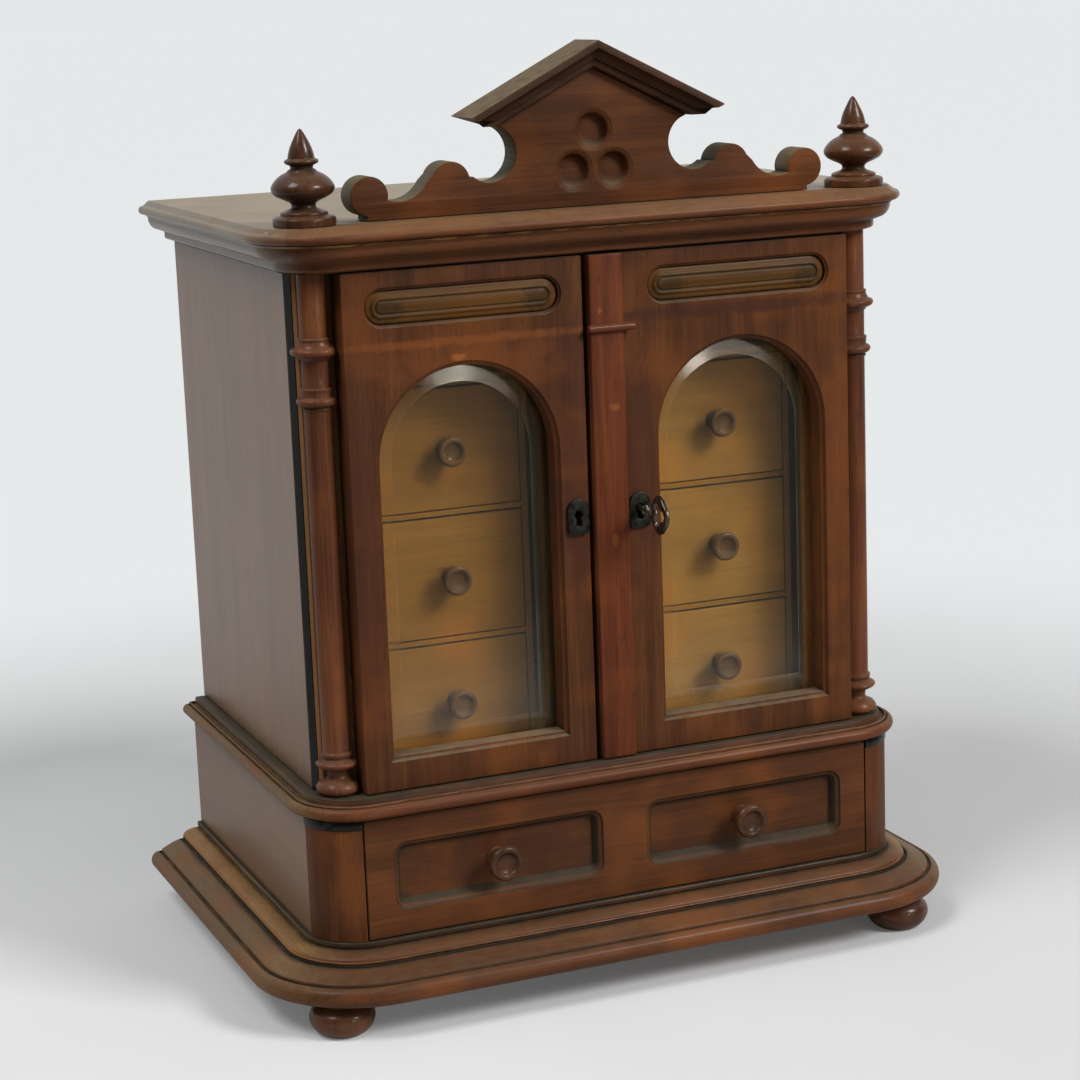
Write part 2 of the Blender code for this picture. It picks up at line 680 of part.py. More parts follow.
def build_case(wood, ebony, inner_wood):
    """Upper case: sides, back, corner strips, stiles, mullion, columns and drawer rack."""
    low = CASE_Z + SEAT
    high = CORNICE_Z - SEAT
    half = CASE_WIDTH / 2
    strip_face = STILE_BACK + FILLET_DEPTH
    for hand, side in (("left", -1), ("right", 1)):
        xs = sorted((side * half, side * (half - CASE_SIDE_THICKNESS)))
        block(f"case_side_{hand}", xs, (0.0, CASE_SIDE_DEPTH), (low, high), wood, 0.0005)
        seat_x = half - CASE_SIDE_THICKNESS + 0.003
        strip = [(seat_x, STILE_BACK), (half, STILE_BACK)]
        strip += [(half - FILLET_IN, strip_face), (seat_x, strip_face)]
        floor_plate(f"ebonised_strip_{hand}", [(side * x, d) for x, d in strip], (low, high), ebony)
        inner_x = half - STILE_WIDTH
        step_x = seat_x - SEAT
        step_depth = strip_face + SEAT
        plan = [(inner_x, STILE_BACK), (step_x, STILE_BACK), (step_x, step_depth)]
        plan += [(half - FILLET_IN - 0.0004, step_depth), (half - CHAMFER_IN, STILE_FACE)]
        plan += [(inner_x, STILE_FACE)]
        floor_plate(f"front_stile_{hand}", [(side * x, d) for x, d in plan], (low, high), wood)
        axis = at(side * COLUMN_X, COLUMN_DEPTH, CASE_Z)
        column = turned(f"column_{hand}", column_profile(), axis, wood, 12)
        flat = block(
            f"column_flat_{hand}",
            (axis.x - 0.02, axis.x + 0.02),
            (STILE_FACE - 0.02, STILE_FACE + SEAT),
            (low - 0.01, high + 0.01),
            None,
        )
        cut(column, flat)
        clear = block(
            f"column_clear_{hand}",
            sorted((side * COLUMN_INNER, side * (COLUMN_INNER - 0.02))),
            (STILE_FACE - 0.01, STILE_FACE + 0.04),
            (low - 0.01, high + 0.01),
            None,
        )
        cut(column, clear)
    inner = half - CASE_SIDE_THICKNESS - SEAT
    block("case_back", (-inner, inner), (0.0, BACK_THICKNESS), (low, high), wood)
    middle = MULLION_WIDTH / 2
    block("mullion", (-middle, middle), (STILE_BACK, MULLION_FACE), (low, high), wood, 0.0004)

    cell_half = INNER_DRAWER_WIDTH / 2 + RUN
    outer = INNER_DRAWER_CENTRE + cell_half + RACK_WALL
    loops = [[(-outer, low), (outer, low), (outer, high), (-outer, high)]]
    for side in (-1, 1):
        left = side * INNER_DRAWER_CENTRE - cell_half
        right = side * INNER_DRAWER_CENTRE + cell_half
        for tier in range(TIERS + 1):
            floor, roof = tier_levels(tier)
            if tier == TIERS:
                roof = high - RACK_RAIL
            loops.append([(left, floor), (left, roof), (right, roof), (right, floor)])
    web = INNER_DRAWER_CENTRE - cell_half - RACK_WALL
    floor = low + RACK_RAIL
    roof = high - RACK_RAIL
    loops.append([(-web, floor), (-web, roof), (web, roof), (web, floor)])
    front_plate("drawer_rack", loops, (RACK_BACK, DRAWER_FACE_DEPTH - SEAT), inner_wood)


def build_inner_drawers(inner_wood):
    """Six small drawers in two banks, each with its knob."""
    for hand, side in (("left", -1), ("right", 1)):
        centre = side * INNER_DRAWER_CENTRE
        half = INNER_DRAWER_WIDTH / 2
        for tier in range(TIERS):
            name = f"{hand}_{tier + 1}"
            floor, roof = tier_levels(tier)
            low = floor + RUN
            high = roof - INNER_DRAWER_GAP
            back = RACK_BACK + INNER_DRAWER_BACK_GAP
            body = block(
                f"inner_drawer_{name}",
                (centre - half, centre + half),
                (back, DRAWER_FACE_DEPTH),
                (low, high),
                inner_wood,
                0.0004,
            )
            hollow = block(
                f"inner_drawer_hollow_{name}",
                (centre - half + INNER_WALL, centre + half - INNER_WALL),
                (back + INNER_WALL, DRAWER_FACE_DEPTH - INNER_FRONT_THICKNESS),
                (low + INNER_WALL, high + 0.01),
                None,
            )
            cut(body, hollow)
            seat = at(centre, DRAWER_FACE_DEPTH, (low + high) / 2)
            profile = knob_profile(INNER_KNOB_RADIUS, INNER_KNOB_LENGTH)
            knob = turned(f"inner_knob_{name}", profile, seat, inner_wood, 12, "front")
            carry(f"inner_drawer_axis_{name}", seat, [body, knob])


def escutcheon(name, centre_x, depth, material):
    """A small arched plate pierced by a keyhole."""
    half = ESCUTCHEON_WIDTH / 2
    low = LOCK_Z - ESCUTCHEON_HEIGHT * 0.56
    spring = low + ESCUTCHEON_HEIGHT - half
    corner = half * 0.45
    outer = arc((half - corner, low + corner), corner, -90, 0, 4)
    outer += arc((0.0, spring), half, 0, 180, 10)
    outer += arc((-half + corner, low + corner), corner, 180, 270, 4)
    foot = LOCK_Z - KEYHOLE_DROP
    hole = arc((0.0, LOCK_Z), KEYHOLE_RADIUS, 240, -60, 10)
    hole += [(KEYHOLE_RADIUS * 0.7, foot), (-KEYHOLE_RADIUS * 0.7, foot)]
    loops = [[(centre_x + x, z) for x, z in loop] for loop in (outer, hole)]
    plate = front_plate(name, loops, (depth, depth + ESCUTCHEON_THICKNESS), material)
    return plate


def build_door(hand, wood, glass, panel_wood, waist, cornice):
    """A door frame with its arched glass, long rounded panel and pivot pins."""
    side = -1 if hand == "left" else 1
    meeting = LEFT_DOOR_EDGE if hand == "left" else RIGHT_DOOR_EDGE
    x0, x1 = sorted((side * DOOR_OUTER, meeting))
    frame = block(f"{hand}_door_frame", (x0, x1), (DOOR_BACK, DOOR_FACE), (DOOR_Z0, DOOR_Z1), wood, 0.0006)

    shoulder = DOOR_BACK + GLASS_THICKNESS + 2 * SEAT
    opening = []
    for grow, depth in (
        (REBATE, DOOR_BACK - 0.002),
        (REBATE, shoulder),
        (0.0, shoulder),
        (0.0, DOOR_FACE - REVEAL_STEP),
        (REVEAL_STEP * 0.6, DOOR_FACE - REVEAL_STEP * 0.8),
        (REVEAL_STEP, DOOR_FACE - REVEAL_STEP * 0.2),
        (REVEAL_STEP, DOOR_FACE + 0.002),
    ):
        opening.append(upright(arch(side, grow), depth))
    cut(frame, loft(f"{hand}_opening_cut", opening, None))

    grow = REBATE - SEAT
    pane_back = DOOR_BACK + SEAT
    pane = [upright(arch(side, grow), pane_back), upright(arch(side, grow), pane_back + GLASS_EDGE)]
    pane += [upright(arch(side, -GLASS_BEVEL), pane_back + GLASS_THICKNESS)]
    glazing = loft(f"{hand}_door_glass", pane, glass)

    centre = (side * STADIUM_CENTRE, CORNICE_Z - STADIUM_BELOW_TOP)
    sink = []
    for inset, depth in ((0.0, -0.002), (0.0, 0.0), (STADIUM_LIP, STADIUM_LIP), (STADIUM_LIP, STADIUM_DEPTH)):
        sink.append(upright(stadium(centre, STADIUM_LENGTH, STADIUM_HEIGHT, inset), DOOR_FACE - depth))
    cut(frame, loft(f"{hand}_panel_cut", sink, None))
    fit = STADIUM_LIP + SEAT
    rise = STADIUM_DEPTH - SEAT
    mould = []
    for inset, depth in (
        (fit, rise),
        (fit, rise - 0.0006),
        (fit + 0.0016, rise - 0.0012),
        (fit + 0.0028, rise - 0.0010),
        (fit + 0.0034, rise - 0.0028),
        (fit + 0.0046, rise - 0.0031),
        (fit + 0.0051, rise - 0.0023),
        (fit + 0.0057, rise - 0.0023),
        (fit + 0.0062, rise - 0.0029),
    ):
        mould.append(upright(stadium(centre, STADIUM_LENGTH, STADIUM_HEIGHT, inset), DOOR_FACE - depth))
    panel = loft(f"{hand}_door_panel", mould, panel_wood)

    pivot_x = side * PIVOT_X
    for end, board, root, way in (("foot", waist, DOOR_Z0, -1), ("head", cornice, DOOR_Z1, 1)):
        tip = root + way * PIN_LENGTH
        start = at(pivot_x, PIVOT_DEPTH, root - way * 0.006)
        join(frame, rod(f"{hand}_pin_{end}", start, at(pivot_x, PIVOT_DEPTH, tip), PIN_RADIUS, None, 12))
        mouth = at(pivot_x, PIVOT_DEPTH, root)
        blind = at(pivot_x, PIVOT_DEPTH, tip + way * PIN_PLAY)
        cut(board, rod(f"{hand}_socket_{end}", mouth, blind, PIN_RADIUS + PIN_PLAY, None, 12))
    return frame, [frame, glazing, panel]


def build_left_door(wood, glass, panel_wood, steel, waist, cornice):
    frame, pieces = build_door("left", wood, glass, panel_wood, waist, cornice)
    middle = (DOOR_BACK + DOOR_FACE) / 2
    centre = LOCK_BOLT_DEPTH
    mortise = block(
        "bolt_mortise",
        (LEFT_DOOR_EDGE - BOLT_TRAVEL, LEFT_DOOR_EDGE + 0.001),
        (centre - BOLT_THICKNESS / 2 - MORTISE_PLAY, centre + BOLT_THICKNESS / 2 + MORTISE_PLAY),
        (LOCK_Z - BOLT_HEIGHT / 2 - MORTISE_PLAY, LOCK_Z + BOLT_HEIGHT / 2 + MORTISE_PLAY),
        None,
    )
    cut(frame, mortise)
    blind = rod(
        "left_keyhole_cut",
        at(LEFT_ESCUTCHEON_X, middle, LOCK_Z),
        at(LEFT_ESCUTCHEON_X, DOOR_FACE + 0.001, LOCK_Z),
        KEYHOLE_RADIUS,
        None,
    )
    cut(frame, blind)
    pieces.append(escutcheon("left_escutcheon", LEFT_ESCUTCHEON_X, DOOR_FACE + SEAT, steel))
    carry("left_door_axis", at(-PIVOT_X, PIVOT_DEPTH, CASE_Z), pieces)


def build_right_door(wood, glass, panel_wood, steel, waist, cornice):
    """The right door also carries the meeting strip, the lock and its key."""
    frame, pieces = build_door("right", wood, glass, panel_wood, waist, cornice)
    lock_low = LOCK_Z - LOCK_HEIGHT / 2
    lock_high = LOCK_Z + LOCK_HEIGHT / 2
    lock_left = RIGHT_DOOR_EDGE + SEAT
    lock_right = KEY_OFFSET + LOCK_BESIDE_KEY
    pocket = block(
        "lock_pocket",
        (RIGHT_DOOR_EDGE - 0.002, lock_right + SEAT),
        (DOOR_BACK - 0.002, LOCK_FRONT + SEAT),
        (lock_low - SEAT, lock_high + SEAT),
        None,
    )
    cut(frame, pocket)
    bore_start = at(KEY_OFFSET, LOCK_FRONT, LOCK_Z)
    bore_end = at(KEY_OFFSET, DOOR_FACE + 0.001, LOCK_Z)
    cut(frame, rod("key_bore", bore_start, bore_end, KEYHOLE_RADIUS, None))

    case = block("lock_case", (lock_left, lock_right), (LOCK_BACK, LOCK_FRONT), (lock_low, lock_high), steel)
    channel = block(
        "bolt_channel",
        (lock_left - 0.002, lock_left + BOLT_LENGTH + 2 * RUN),
        (LOCK_BOLT_DEPTH - BOLT_THICKNESS / 2 - RUN, LOCK_BOLT_DEPTH + BOLT_THICKNESS / 2 + RUN),
        (LOCK_Z - BOLT_HEIGHT / 2 - RUN, LOCK_Z + BOLT_HEIGHT / 2 + RUN),
        None,
    )
    cut(case, channel)
    room_back = at(KEY_OFFSET, LOCK_BACK + LOCK_PLATE, LOCK_Z)
    room_front = at(KEY_OFFSET, LOCK_FRONT - LOCK_PLATE, LOCK_Z)
    cut(case, rod("bit_room", room_back, room_front, BIT_REACH + RUN, None, 20))
    mouth = at(KEY_OFFSET, LOCK_FRONT + 0.001, LOCK_Z)
    cut(case, rod("case_keyhole", room_front - Vector((0, -0.0005, 0)), mouth, KEYHOLE_RADIUS, None))
    bolt_left = lock_left + RUN
    bolt = block(
        "lock_bolt",
        (bolt_left, bolt_left + BOLT_LENGTH),
        (LOCK_BOLT_DEPTH - BOLT_THICKNESS / 2, LOCK_BOLT_DEPTH + BOLT_THICKNESS / 2),
        (LOCK_Z - BOLT_HEIGHT / 2, LOCK_Z + BOLT_HEIGHT / 2),
        steel,
    )
    carry("lock_bolt_axis", at(bolt_left, LOCK_BOLT_DEPTH, LOCK_Z), [bolt])

    half = STRIP_WIDTH / 2
    strip = block(
        "meeting_strip", (-half, half), (DOOR_FACE + SEAT, STRIP_FACE), (DOOR_Z0, DOOR_Z1), wood, 0.0009
    )
    level = CORNICE_Z - ASTRAGAL_BELOW_TOP
    height = ASTRAGAL_HEIGHT / 2
    bar = block(
        "strip_astragal",
        (-half - ASTRAGAL_LEFT, half + ASTRAGAL_RIGHT),
        (DOOR_FACE + SEAT, STRIP_FACE + ASTRAGAL_PROUD),
        (level - height, level + height),
        wood,
        0.0011,
    )
    notch = block(
        "astragal_notch",
        (-half - SEAT, half + SEAT),
        (DOOR_FACE - 0.001, STRIP_FACE + SEAT),
        (level - 0.01, level + 0.01),
        None,
    )
    cut(bar, notch)
    plate = escutcheon("right_escutcheon", KEY_OFFSET, DOOR_FACE + SEAT, steel)
    pieces += [case, strip, bar, plate]
    carry("right_door_axis", at(PIVOT_X, PIVOT_DEPTH, CASE_Z), pieces)
    build_key(steel, room_back, room_front)


def build_key(steel, room_back, room_front):
    """Key with a pierced bow, collared shank and a bit; it turns about its shank."""
    origin = at(KEY_OFFSET, LOCK_FRONT, LOCK_Z)
    tip = RUN - (LOCK_FRONT - LOCK_BACK) + LOCK_PLATE
    shoulder = BOW_CENTRE_DEPTH - LOCK_FRONT - BOW_RADIUS
    r = SHANK_RADIUS
    profile = [(0.0, shoulder + 0.0022), (r, shoulder + 0.0022), (1.3 * r, shoulder + 0.0006)]
    profile += [(1.9 * r, shoulder - 0.0008), (1.3 * r, shoulder - 0.0022), (r, shoulder - 0.0034)]
    profile += [(r, shoulder - 0.0052), (1.6 * r, shoulder - 0.0060), (1.6 * r, shoulder - 0.0072)]
    profile += [(r, shoulder - 0.0080), (r, tip), (0.0, tip)]
    key = turned("key", profile, origin, steel, 10, "front")

    middle = at(KEY_OFFSET, BOW_CENTRE_DEPTH, LOCK_Z)
    turn = Matrix(((0, 0, -1, 0), (-1, 0, 0, 0), (0, 1, 0, 0), (0, 0, 0, 1)))
    outer = []
    hole = []
    for i in range(24):
        a = 2 * pi * i / 24
        rim = BOW_RADIUS * (0.94 + 0.06 * cos(4 * a))
        outer.append((rim * cos(a), rim * sin(a)))
        inner = BOW_RADIUS * (0.50 + 0.15 * cos(3 * a))
        hole.append((inner * cos(a), inner * sin(a)))
    bow = curve_plate("key_bow", [outer, hole], BOW_THICKNESS, Matrix.Translation(middle) @ turn, None)
    join(key, bow)
    bit_low = room_back.y
    bit_high = room_front.y
    bit = block(
        "key_bit",
        (KEY_OFFSET - 0.0007, KEY_OFFSET + 0.0007),
        (BACK - bit_low + RUN, BACK - bit_high - RUN),
        (LOCK_Z - BIT_REACH, LOCK_Z),
        None,
    )
    join(key, bit)


def build_top(wood):
    """Cornice board with its cove and the top board with its nose."""
    start = (CASE_WIDTH - PLINTH_WIDTH) / 2 + 0.0004
    top = CORNICE_HEIGHT
    profile = [(start, 0.0), (start + 0.0044, 0.0012), (start + 0.0050, 0.0022)]
    profile += [(start + 0.0050, 0.0052), (start + 0.0058, 0.0058), (start + 0.0078, 0.0062)]
    profile += cove((start + 0.0084, 0.0068), (start + 0.0142, top - 0.0009), 5)
    profile += [(start + 0.0150, top - 0.0005), (start + 0.0152, top)]
    cornice = moulded_board("cornice_board", profile, CORNICE_Z, wood)

    r = TOP_REACH
    top = TOP_BOARD_HEIGHT
    profile = [(r - 0.0046, SEAT), (r - 0.0030, 0.0005)]
    profile += nose(r - 0.0024, r, 0.0008, top - 0.0028, 6)
    profile += [(r - 0.0032, top - 0.0024), (r - 0.0044, top - 0.0014)]
    profile += [(r - 0.0056, top - 0.0004), (r - 0.0062, top)]
    moulded_board("top_board", profile, TOP_BOARD_Z, wood)
    return cornice


def pediment_outline():
    """Right half of the shaped board: scroll, hollow, bump, round bite, then the raking edge."""
    base = TOP_Z
    rake = tan(GABLE_PITCH)
    drop = (GABLE_THICKNESS + SEAT) / cos(GABLE_PITCH)
    ridge = base + GABLE_RISE - drop
    scroll_x = FINIAL_X - SCROLL_TO_FINIAL
    hollow_x = scroll_x - HOLLOW_FROM_SCROLL
    bump_x = scroll_x - BUMP_FROM_SCROLL
    bite_x = bump_x - BITE_FROM_BUMP
    bite_z = ridge - rake * bite_x - BITE_BELOW_RAKE
    edge_x = bite_x - RAKE_FROM_BITE
    end_x = scroll_x + SCROLL_END
    loop = [(end_x, base + SEAT), (end_x, base + PEDIMENT_END_HEIGHT)]
    loop += arc((scroll_x, base + SCROLL_RISE), SCROLL_RADIUS, -62, 194, 15)
    loop += arc((hollow_x, base + HOLLOW_RISE), HOLLOW_RADIUS, -72, -150, 6)
    loop += arc((bump_x, base + BUMP_RISE), BUMP_RADIUS, 24, 170, 9)
    loop += arc((bite_x, bite_z), BITE_RADIUS, -50, -238, 12)
    loop += [(edge_x, ridge - rake * edge_x)]
    return loop, ridge


def build_pediment(wood):
    """Shaped board with three dished roundels, under a gable moulding."""
    right, ridge = pediment_outline()
    loop = right + [(0.0, ridge)] + mirrored(right)
    depths = (PEDIMENT_FACE - PEDIMENT_THICKNESS, PEDIMENT_FACE)
    board = front_plate("pediment_board", [loop], depths, wood)
    r = ROUNDEL_RADIUS
    d = ROUNDEL_DEPTH
    dish = [(0.0, 0.002), (r, 0.002), (r, 0.0), (0.90 * r, -0.10 * d), (0.80 * r, -0.22 * d)]
    dish += [(0.74 * r, -0.52 * d), (0.66 * r, -0.82 * d), (0.56 * r, -d), (0.0, -d)]
    for name, x, z in (
        ("top", 0.0, ROUNDEL_TOP_RISE),
        ("left", -ROUNDEL_SPREAD, ROUNDEL_RISE),
        ("right", ROUNDEL_SPREAD, ROUNDEL_RISE),
    ):
        seat = at(x, PEDIMENT_FACE, TOP_Z + z)
        cut(board, turned(f"roundel_cut_{name}", dish, seat, None, 16, "front"))

    apex = TOP_Z + GABLE_RISE
    rake = tan(GABLE_PITCH)
    t = GABLE_THICKNESS
    section = [(GABLE_BACK, 0.0), (GABLE_FACE - 0.0006, 0.0), (GABLE_FACE, 0.0008)]
    section += [(GABLE_FACE, 0.30 * t), (GABLE_FACE - 0.0014, 0.33 * t)]
    section += [(GABLE_FACE - 0.0036, 0.42 * t), (GABLE_FACE - 0.0048, 0.56 * t)]
    section += [(GABLE_FACE - 0.0052, 0.68 * t), (GABLE_FACE - 0.0066, 0.70 * t)]
    section += [(GABLE_FACE - 0.0068, 0.94 * t), (GABLE_FACE - 0.0076, t), (GABLE_BACK, t)]
    stations = [[], [], []]
    for depth, down in section:
        top = apex - down / cos(GABLE_PITCH)
        foot = TOP_Z + GABLE_FOOT - GABLE_FOOT_DROP * min(1.0, down / (0.2 * t))
        if down > 0.69 * t:
            foot = TOP_Z + GABLE_FOOT - GABLE_INNER_DROP
        reach = (top - foot) / rake
        stations[0].append(at(-reach, depth, foot))
        stations[1].append(at(0.0, depth, top))
        stations[2].append(at(reach, depth, foot))
    loft("gable_moulding", stations, wood)


def build_finials(wood):
    h = FINIAL_HEIGHT - SEAT
    r = FINIAL_RADIUS
    shape = [(0.0, 1.0), (0.09, 0.982), (0.23, 0.872), (0.39, 0.716), (0.42, 0.690)]
    shape += [(0.53, 0.664), (0.55, 0.645), (0.50, 0.622), (0.34, 0.596), (0.33, 0.574)]
    shape += [(0.56, 0.538), (0.82, 0.472), (0.97, 0.408), (1.0, 0.372), (0.95, 0.312)]
    shape += [(0.72, 0.264), (0.68, 0.248), (0.68, 0.230), (0.38, 0.198), (0.32, 0.170)]
    shape += [(0.38, 0.140), (0.70, 0.112), (0.75, 0.096), (0.75, 0.076), (0.94, 0.070)]
    shape += [(0.985, 0.050), (0.985, 0.0), (0.0, 0.0)]
    profile = [(a * r, SEAT + b * h) for a, b in shape]
    for hand, side in (("left", -1), ("right", 1)):
        turned(f"finial_{hand}", profile, at(side * FINIAL_X, FINIAL_DEPTH, TOP_Z), wood, 14)


def main():
    global PARTS, CUTTERS
    clear_scene()
    PARTS = make_collection("tabletop_collectors_cabinet")
    CUTTERS = make_collection("cutters")
    CUTTERS.hide_render = True
    walnut = make_material("walnut", (0.13, 0.045, 0.02), 0.42)
    ochre = make_material("ochre_wood", (0.34, 0.17, 0.045), 0.5)
    ebony = make_material("ebonised", (0.008, 0.007, 0.006), 0.3)
    glass = make_material("plate_glass", (0.9, 0.95, 0.93), 0.03, 0.0, 0.9)
    steel = make_material("blackened_steel", (0.05, 0.045, 0.042), 0.38, 0.9)

    build_base(walnut)
    waist = build_plinth(walnut, ebony)
    build_plinth_drawer(walnut, ochre)
    build_case(walnut, ebony, ochre)
    build_inner_drawers(ochre)
    cornice = build_top(walnut)
    build_left_door(walnut, glass, ochre, steel, waist, cornice)
    build_right_door(walnut, glass, ochre, steel, waist, cornice)
    build_pediment(walnut)
    build_finials(walnut)


main()
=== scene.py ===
"""Dressed cabinet: finely turned, moulded and framed pieces with their finishes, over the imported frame."""

from __future__ import annotations

import json
import logging
import math
from dataclasses import dataclass, replace
from enum import Enum
from functools import cache
from typing import NamedTuple, Sequence, Union

import bmesh
import bpy
from mathutils import Matrix, Vector

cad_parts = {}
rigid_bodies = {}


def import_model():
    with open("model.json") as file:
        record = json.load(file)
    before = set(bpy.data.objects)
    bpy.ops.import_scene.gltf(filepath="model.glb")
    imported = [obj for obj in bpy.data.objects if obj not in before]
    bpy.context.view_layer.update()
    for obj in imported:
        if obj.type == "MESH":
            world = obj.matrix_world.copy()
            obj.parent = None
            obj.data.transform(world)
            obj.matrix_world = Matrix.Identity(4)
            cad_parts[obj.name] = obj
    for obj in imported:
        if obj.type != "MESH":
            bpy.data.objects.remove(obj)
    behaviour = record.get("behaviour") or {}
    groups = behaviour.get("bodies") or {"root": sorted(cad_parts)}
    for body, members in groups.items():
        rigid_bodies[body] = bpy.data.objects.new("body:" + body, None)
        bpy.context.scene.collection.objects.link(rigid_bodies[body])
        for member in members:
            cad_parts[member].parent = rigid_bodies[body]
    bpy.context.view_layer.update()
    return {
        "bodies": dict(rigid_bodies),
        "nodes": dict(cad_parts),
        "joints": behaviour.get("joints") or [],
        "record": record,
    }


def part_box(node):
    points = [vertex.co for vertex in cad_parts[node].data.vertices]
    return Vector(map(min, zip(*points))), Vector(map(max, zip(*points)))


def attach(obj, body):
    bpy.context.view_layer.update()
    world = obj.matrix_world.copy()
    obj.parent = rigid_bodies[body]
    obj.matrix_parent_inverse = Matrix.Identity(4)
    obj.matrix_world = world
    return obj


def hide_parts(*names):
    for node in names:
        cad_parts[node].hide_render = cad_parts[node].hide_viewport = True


LOG = logging.getLogger("cabinet")
TINY = 1e-7
WELD = 2e-6
MOULDED_EASE = 0.00022
TURNED_EASE = 0.00016
TURNED_CORNER = 34.0
SHARP_CARVING = 30.0
TIERS = (1, 2, 3)

Point2 = tuple[float, float]
Point3 = tuple[float, float, float]
Colour = tuple[float, float, float]
Shape = bmesh.types.BMesh
Socket = bpy.types.NodeSocket
Feed = Union[float, Sequence[float], Socket]


class Grain(Enum):
    """A direction in the cabinet, and the way in which the fibres of a board run."""

    ACROSS = 0
    DEEP = 1
    UPRIGHT = 2


class Hand(Enum):
    """Side of the cabinet, seen from the front."""

    LEFT = "left"
    RIGHT = "right"

    @property
    def sign(self) -> int:
        """Minus one on the left, plus one on the right."""
        return -1 if self is Hand.LEFT else 1


class Stock(Enum):
    """Material slots of the library record."""

    WALNUT = "walnut"
    OCHRE = "ochre_wood"
    EBONY = "ebonised"
    GLASS = "plate_glass"
    STEEL = "blackened_steel"


class Turn(NamedTuple):
    """One point of a profile: how far out, how high, and whether a crisp arris stands there."""

    out: float
    up: float
    crisp: bool = False


def paint(red: int, green: int, blue: int) -> Colour:
    """Screen colour, 0 to 255, as linear light."""
    shares = [part / 255 for part in (red, green, blue)]
    return tuple(s / 12.92 if s <= 0.04045 else ((s + 0.055) / 1.055) ** 2.4 for s in shares)


def shades(*tints: tuple[int, int, int]) -> tuple[Colour, ...]:
    """Screen colours, from dark to light, as linear light."""
    return tuple(paint(*tint) for tint in tints)


def ring(centre: Point2, radius: float, start: float, end: float, steps: int) -> list[Point2]:
    """Points along a circular arc from one angle to another, in degrees, both ends included."""
    turns = [math.radians(start + (end - start) * i / steps) for i in range(steps + 1)]
    return [(centre[0] + radius * math.cos(a), centre[1] + radius * math.sin(a)) for a in turns]


def mirrored(loop: Sequence[Point2]) -> list[Point2]:
    """The same outline on the other side of the middle line."""
    return [(-x, y) for x, y in reversed(loop)]


def shifted(points: Sequence[Point2], out: float, up: float) -> list[Point2]:
    """Profile points moved out and up."""
    return [(out + x, up + y) for x, y in points]


def scaled(points: Sequence[Turn], out: float, up: float) -> list[Turn]:
    """A profile given in shares of its largest radius and of its height, at its real size."""
    return [Turn(point.out * out, point.up * up, point.crisp) for point in points]


def nose(inner: float, outer: float, low: float, high: float, steps: int = 16) -> list[Point2]:
    """A half-round edge.

    Args:
        inner: reach where the round starts and ends.
        outer: reach of its middle.
        low: its lowest height.
        high: its highest height.
        steps: pieces that the round is divided into.

    Returns:
        Profile points from the lower end to the upper one.
    """
    middle = (low + high) / 2
    turns = [math.pi * (i / steps - 0.5) for i in range(steps + 1)]
    return [
        (inner + (outer - inner) * math.cos(a), middle + (high - low) / 2 * math.sin(a)) for a in turns
    ]


def cove(start: Point2, end: Point2, steps: int = 12) -> list[Point2]:
    """A hollow quarter, level at its start and upright at its end.

    Args:
        start: first profile point.
        end: last profile point.
        steps: pieces that the hollow is divided into.

    Returns:
        Profile points from start to end.
    """
    turns = [math.pi / 2 * i / steps for i in range(steps + 1)]
    return [
        (start[0] + (end[0] - start[0]) * math.sin(a), end[1] + (start[1] - end[1]) * math.cos(a))
        for a in turns
    ]


def eased(line: Sequence[Point2], ease: float, least: float = 24.0, most: float = 0.35) -> list[Point2]:
    """Takes the sharpness off a profile.

    Args:
        line: profile points.
        ease: length taken off each side of a corner.
        least: smallest turn, in degrees, that counts as a corner.
        most: largest share of a side that is taken off.

    Returns:
        The profile with two points in place of each corner.
    """
    points = [Vector(p) for p in line]
    result = [points[0]]
    for before, here, after in zip(points, points[1:], points[2:]):
        into, away = here - before, after - here
        if min(into.length, away.length) < TINY or math.degrees(into.angle(away)) < least:
            result.append(here)
            continue
        result.append(here - into.normalized() * min(ease, into.length * most))
        result.append(here + away.normalized() * min(ease, away.length * most))
    result.append(points[-1])
    return [(p.x, p.y) for p in result]


def flowing(points: Sequence[Turn], steps: int = 5) -> list[Point2]:
    """Runs a smooth curve through the soft points of a turned profile and keeps its crisp ones.

    Args:
        points: the profile from one end to the other.
        steps: pieces that each curved stretch is divided into.

    Returns:
        The finer profile.
    """
    last = len(points) - 1
    places = [Vector((p.out, p.up)) for p in points]
    line: list[Point2] = []
    for index in range(last):
        here, after = places[index], places[index + 1]
        before = places[index - 1] if index and not points[index].crisp else here
        beyond = places[index + 2] if index + 1 < last and not points[index + 1].crisp else after
        span = (after - here).length
        start = (after - before) * (span / (span + (here - before).length))
        end = (beyond - here) * (span / (span + (beyond - after).length))
        count = 1 if before == here and beyond == after else steps
        for step in range(count):
            t = step / count
            spot = here * (2 * t**3 - 3 * t**2 + 1) + start * (t**3 - 2 * t**2 + t)
            spot = spot + after * (3 * t**2 - 2 * t**3) + end * (t**3 - t**2)
            line.append((max(spot.x, 0.0), spot.y))
    line.append((places[last].x, places[last].y))
    return eased(line, TURNED_EASE, TURNED_CORNER)


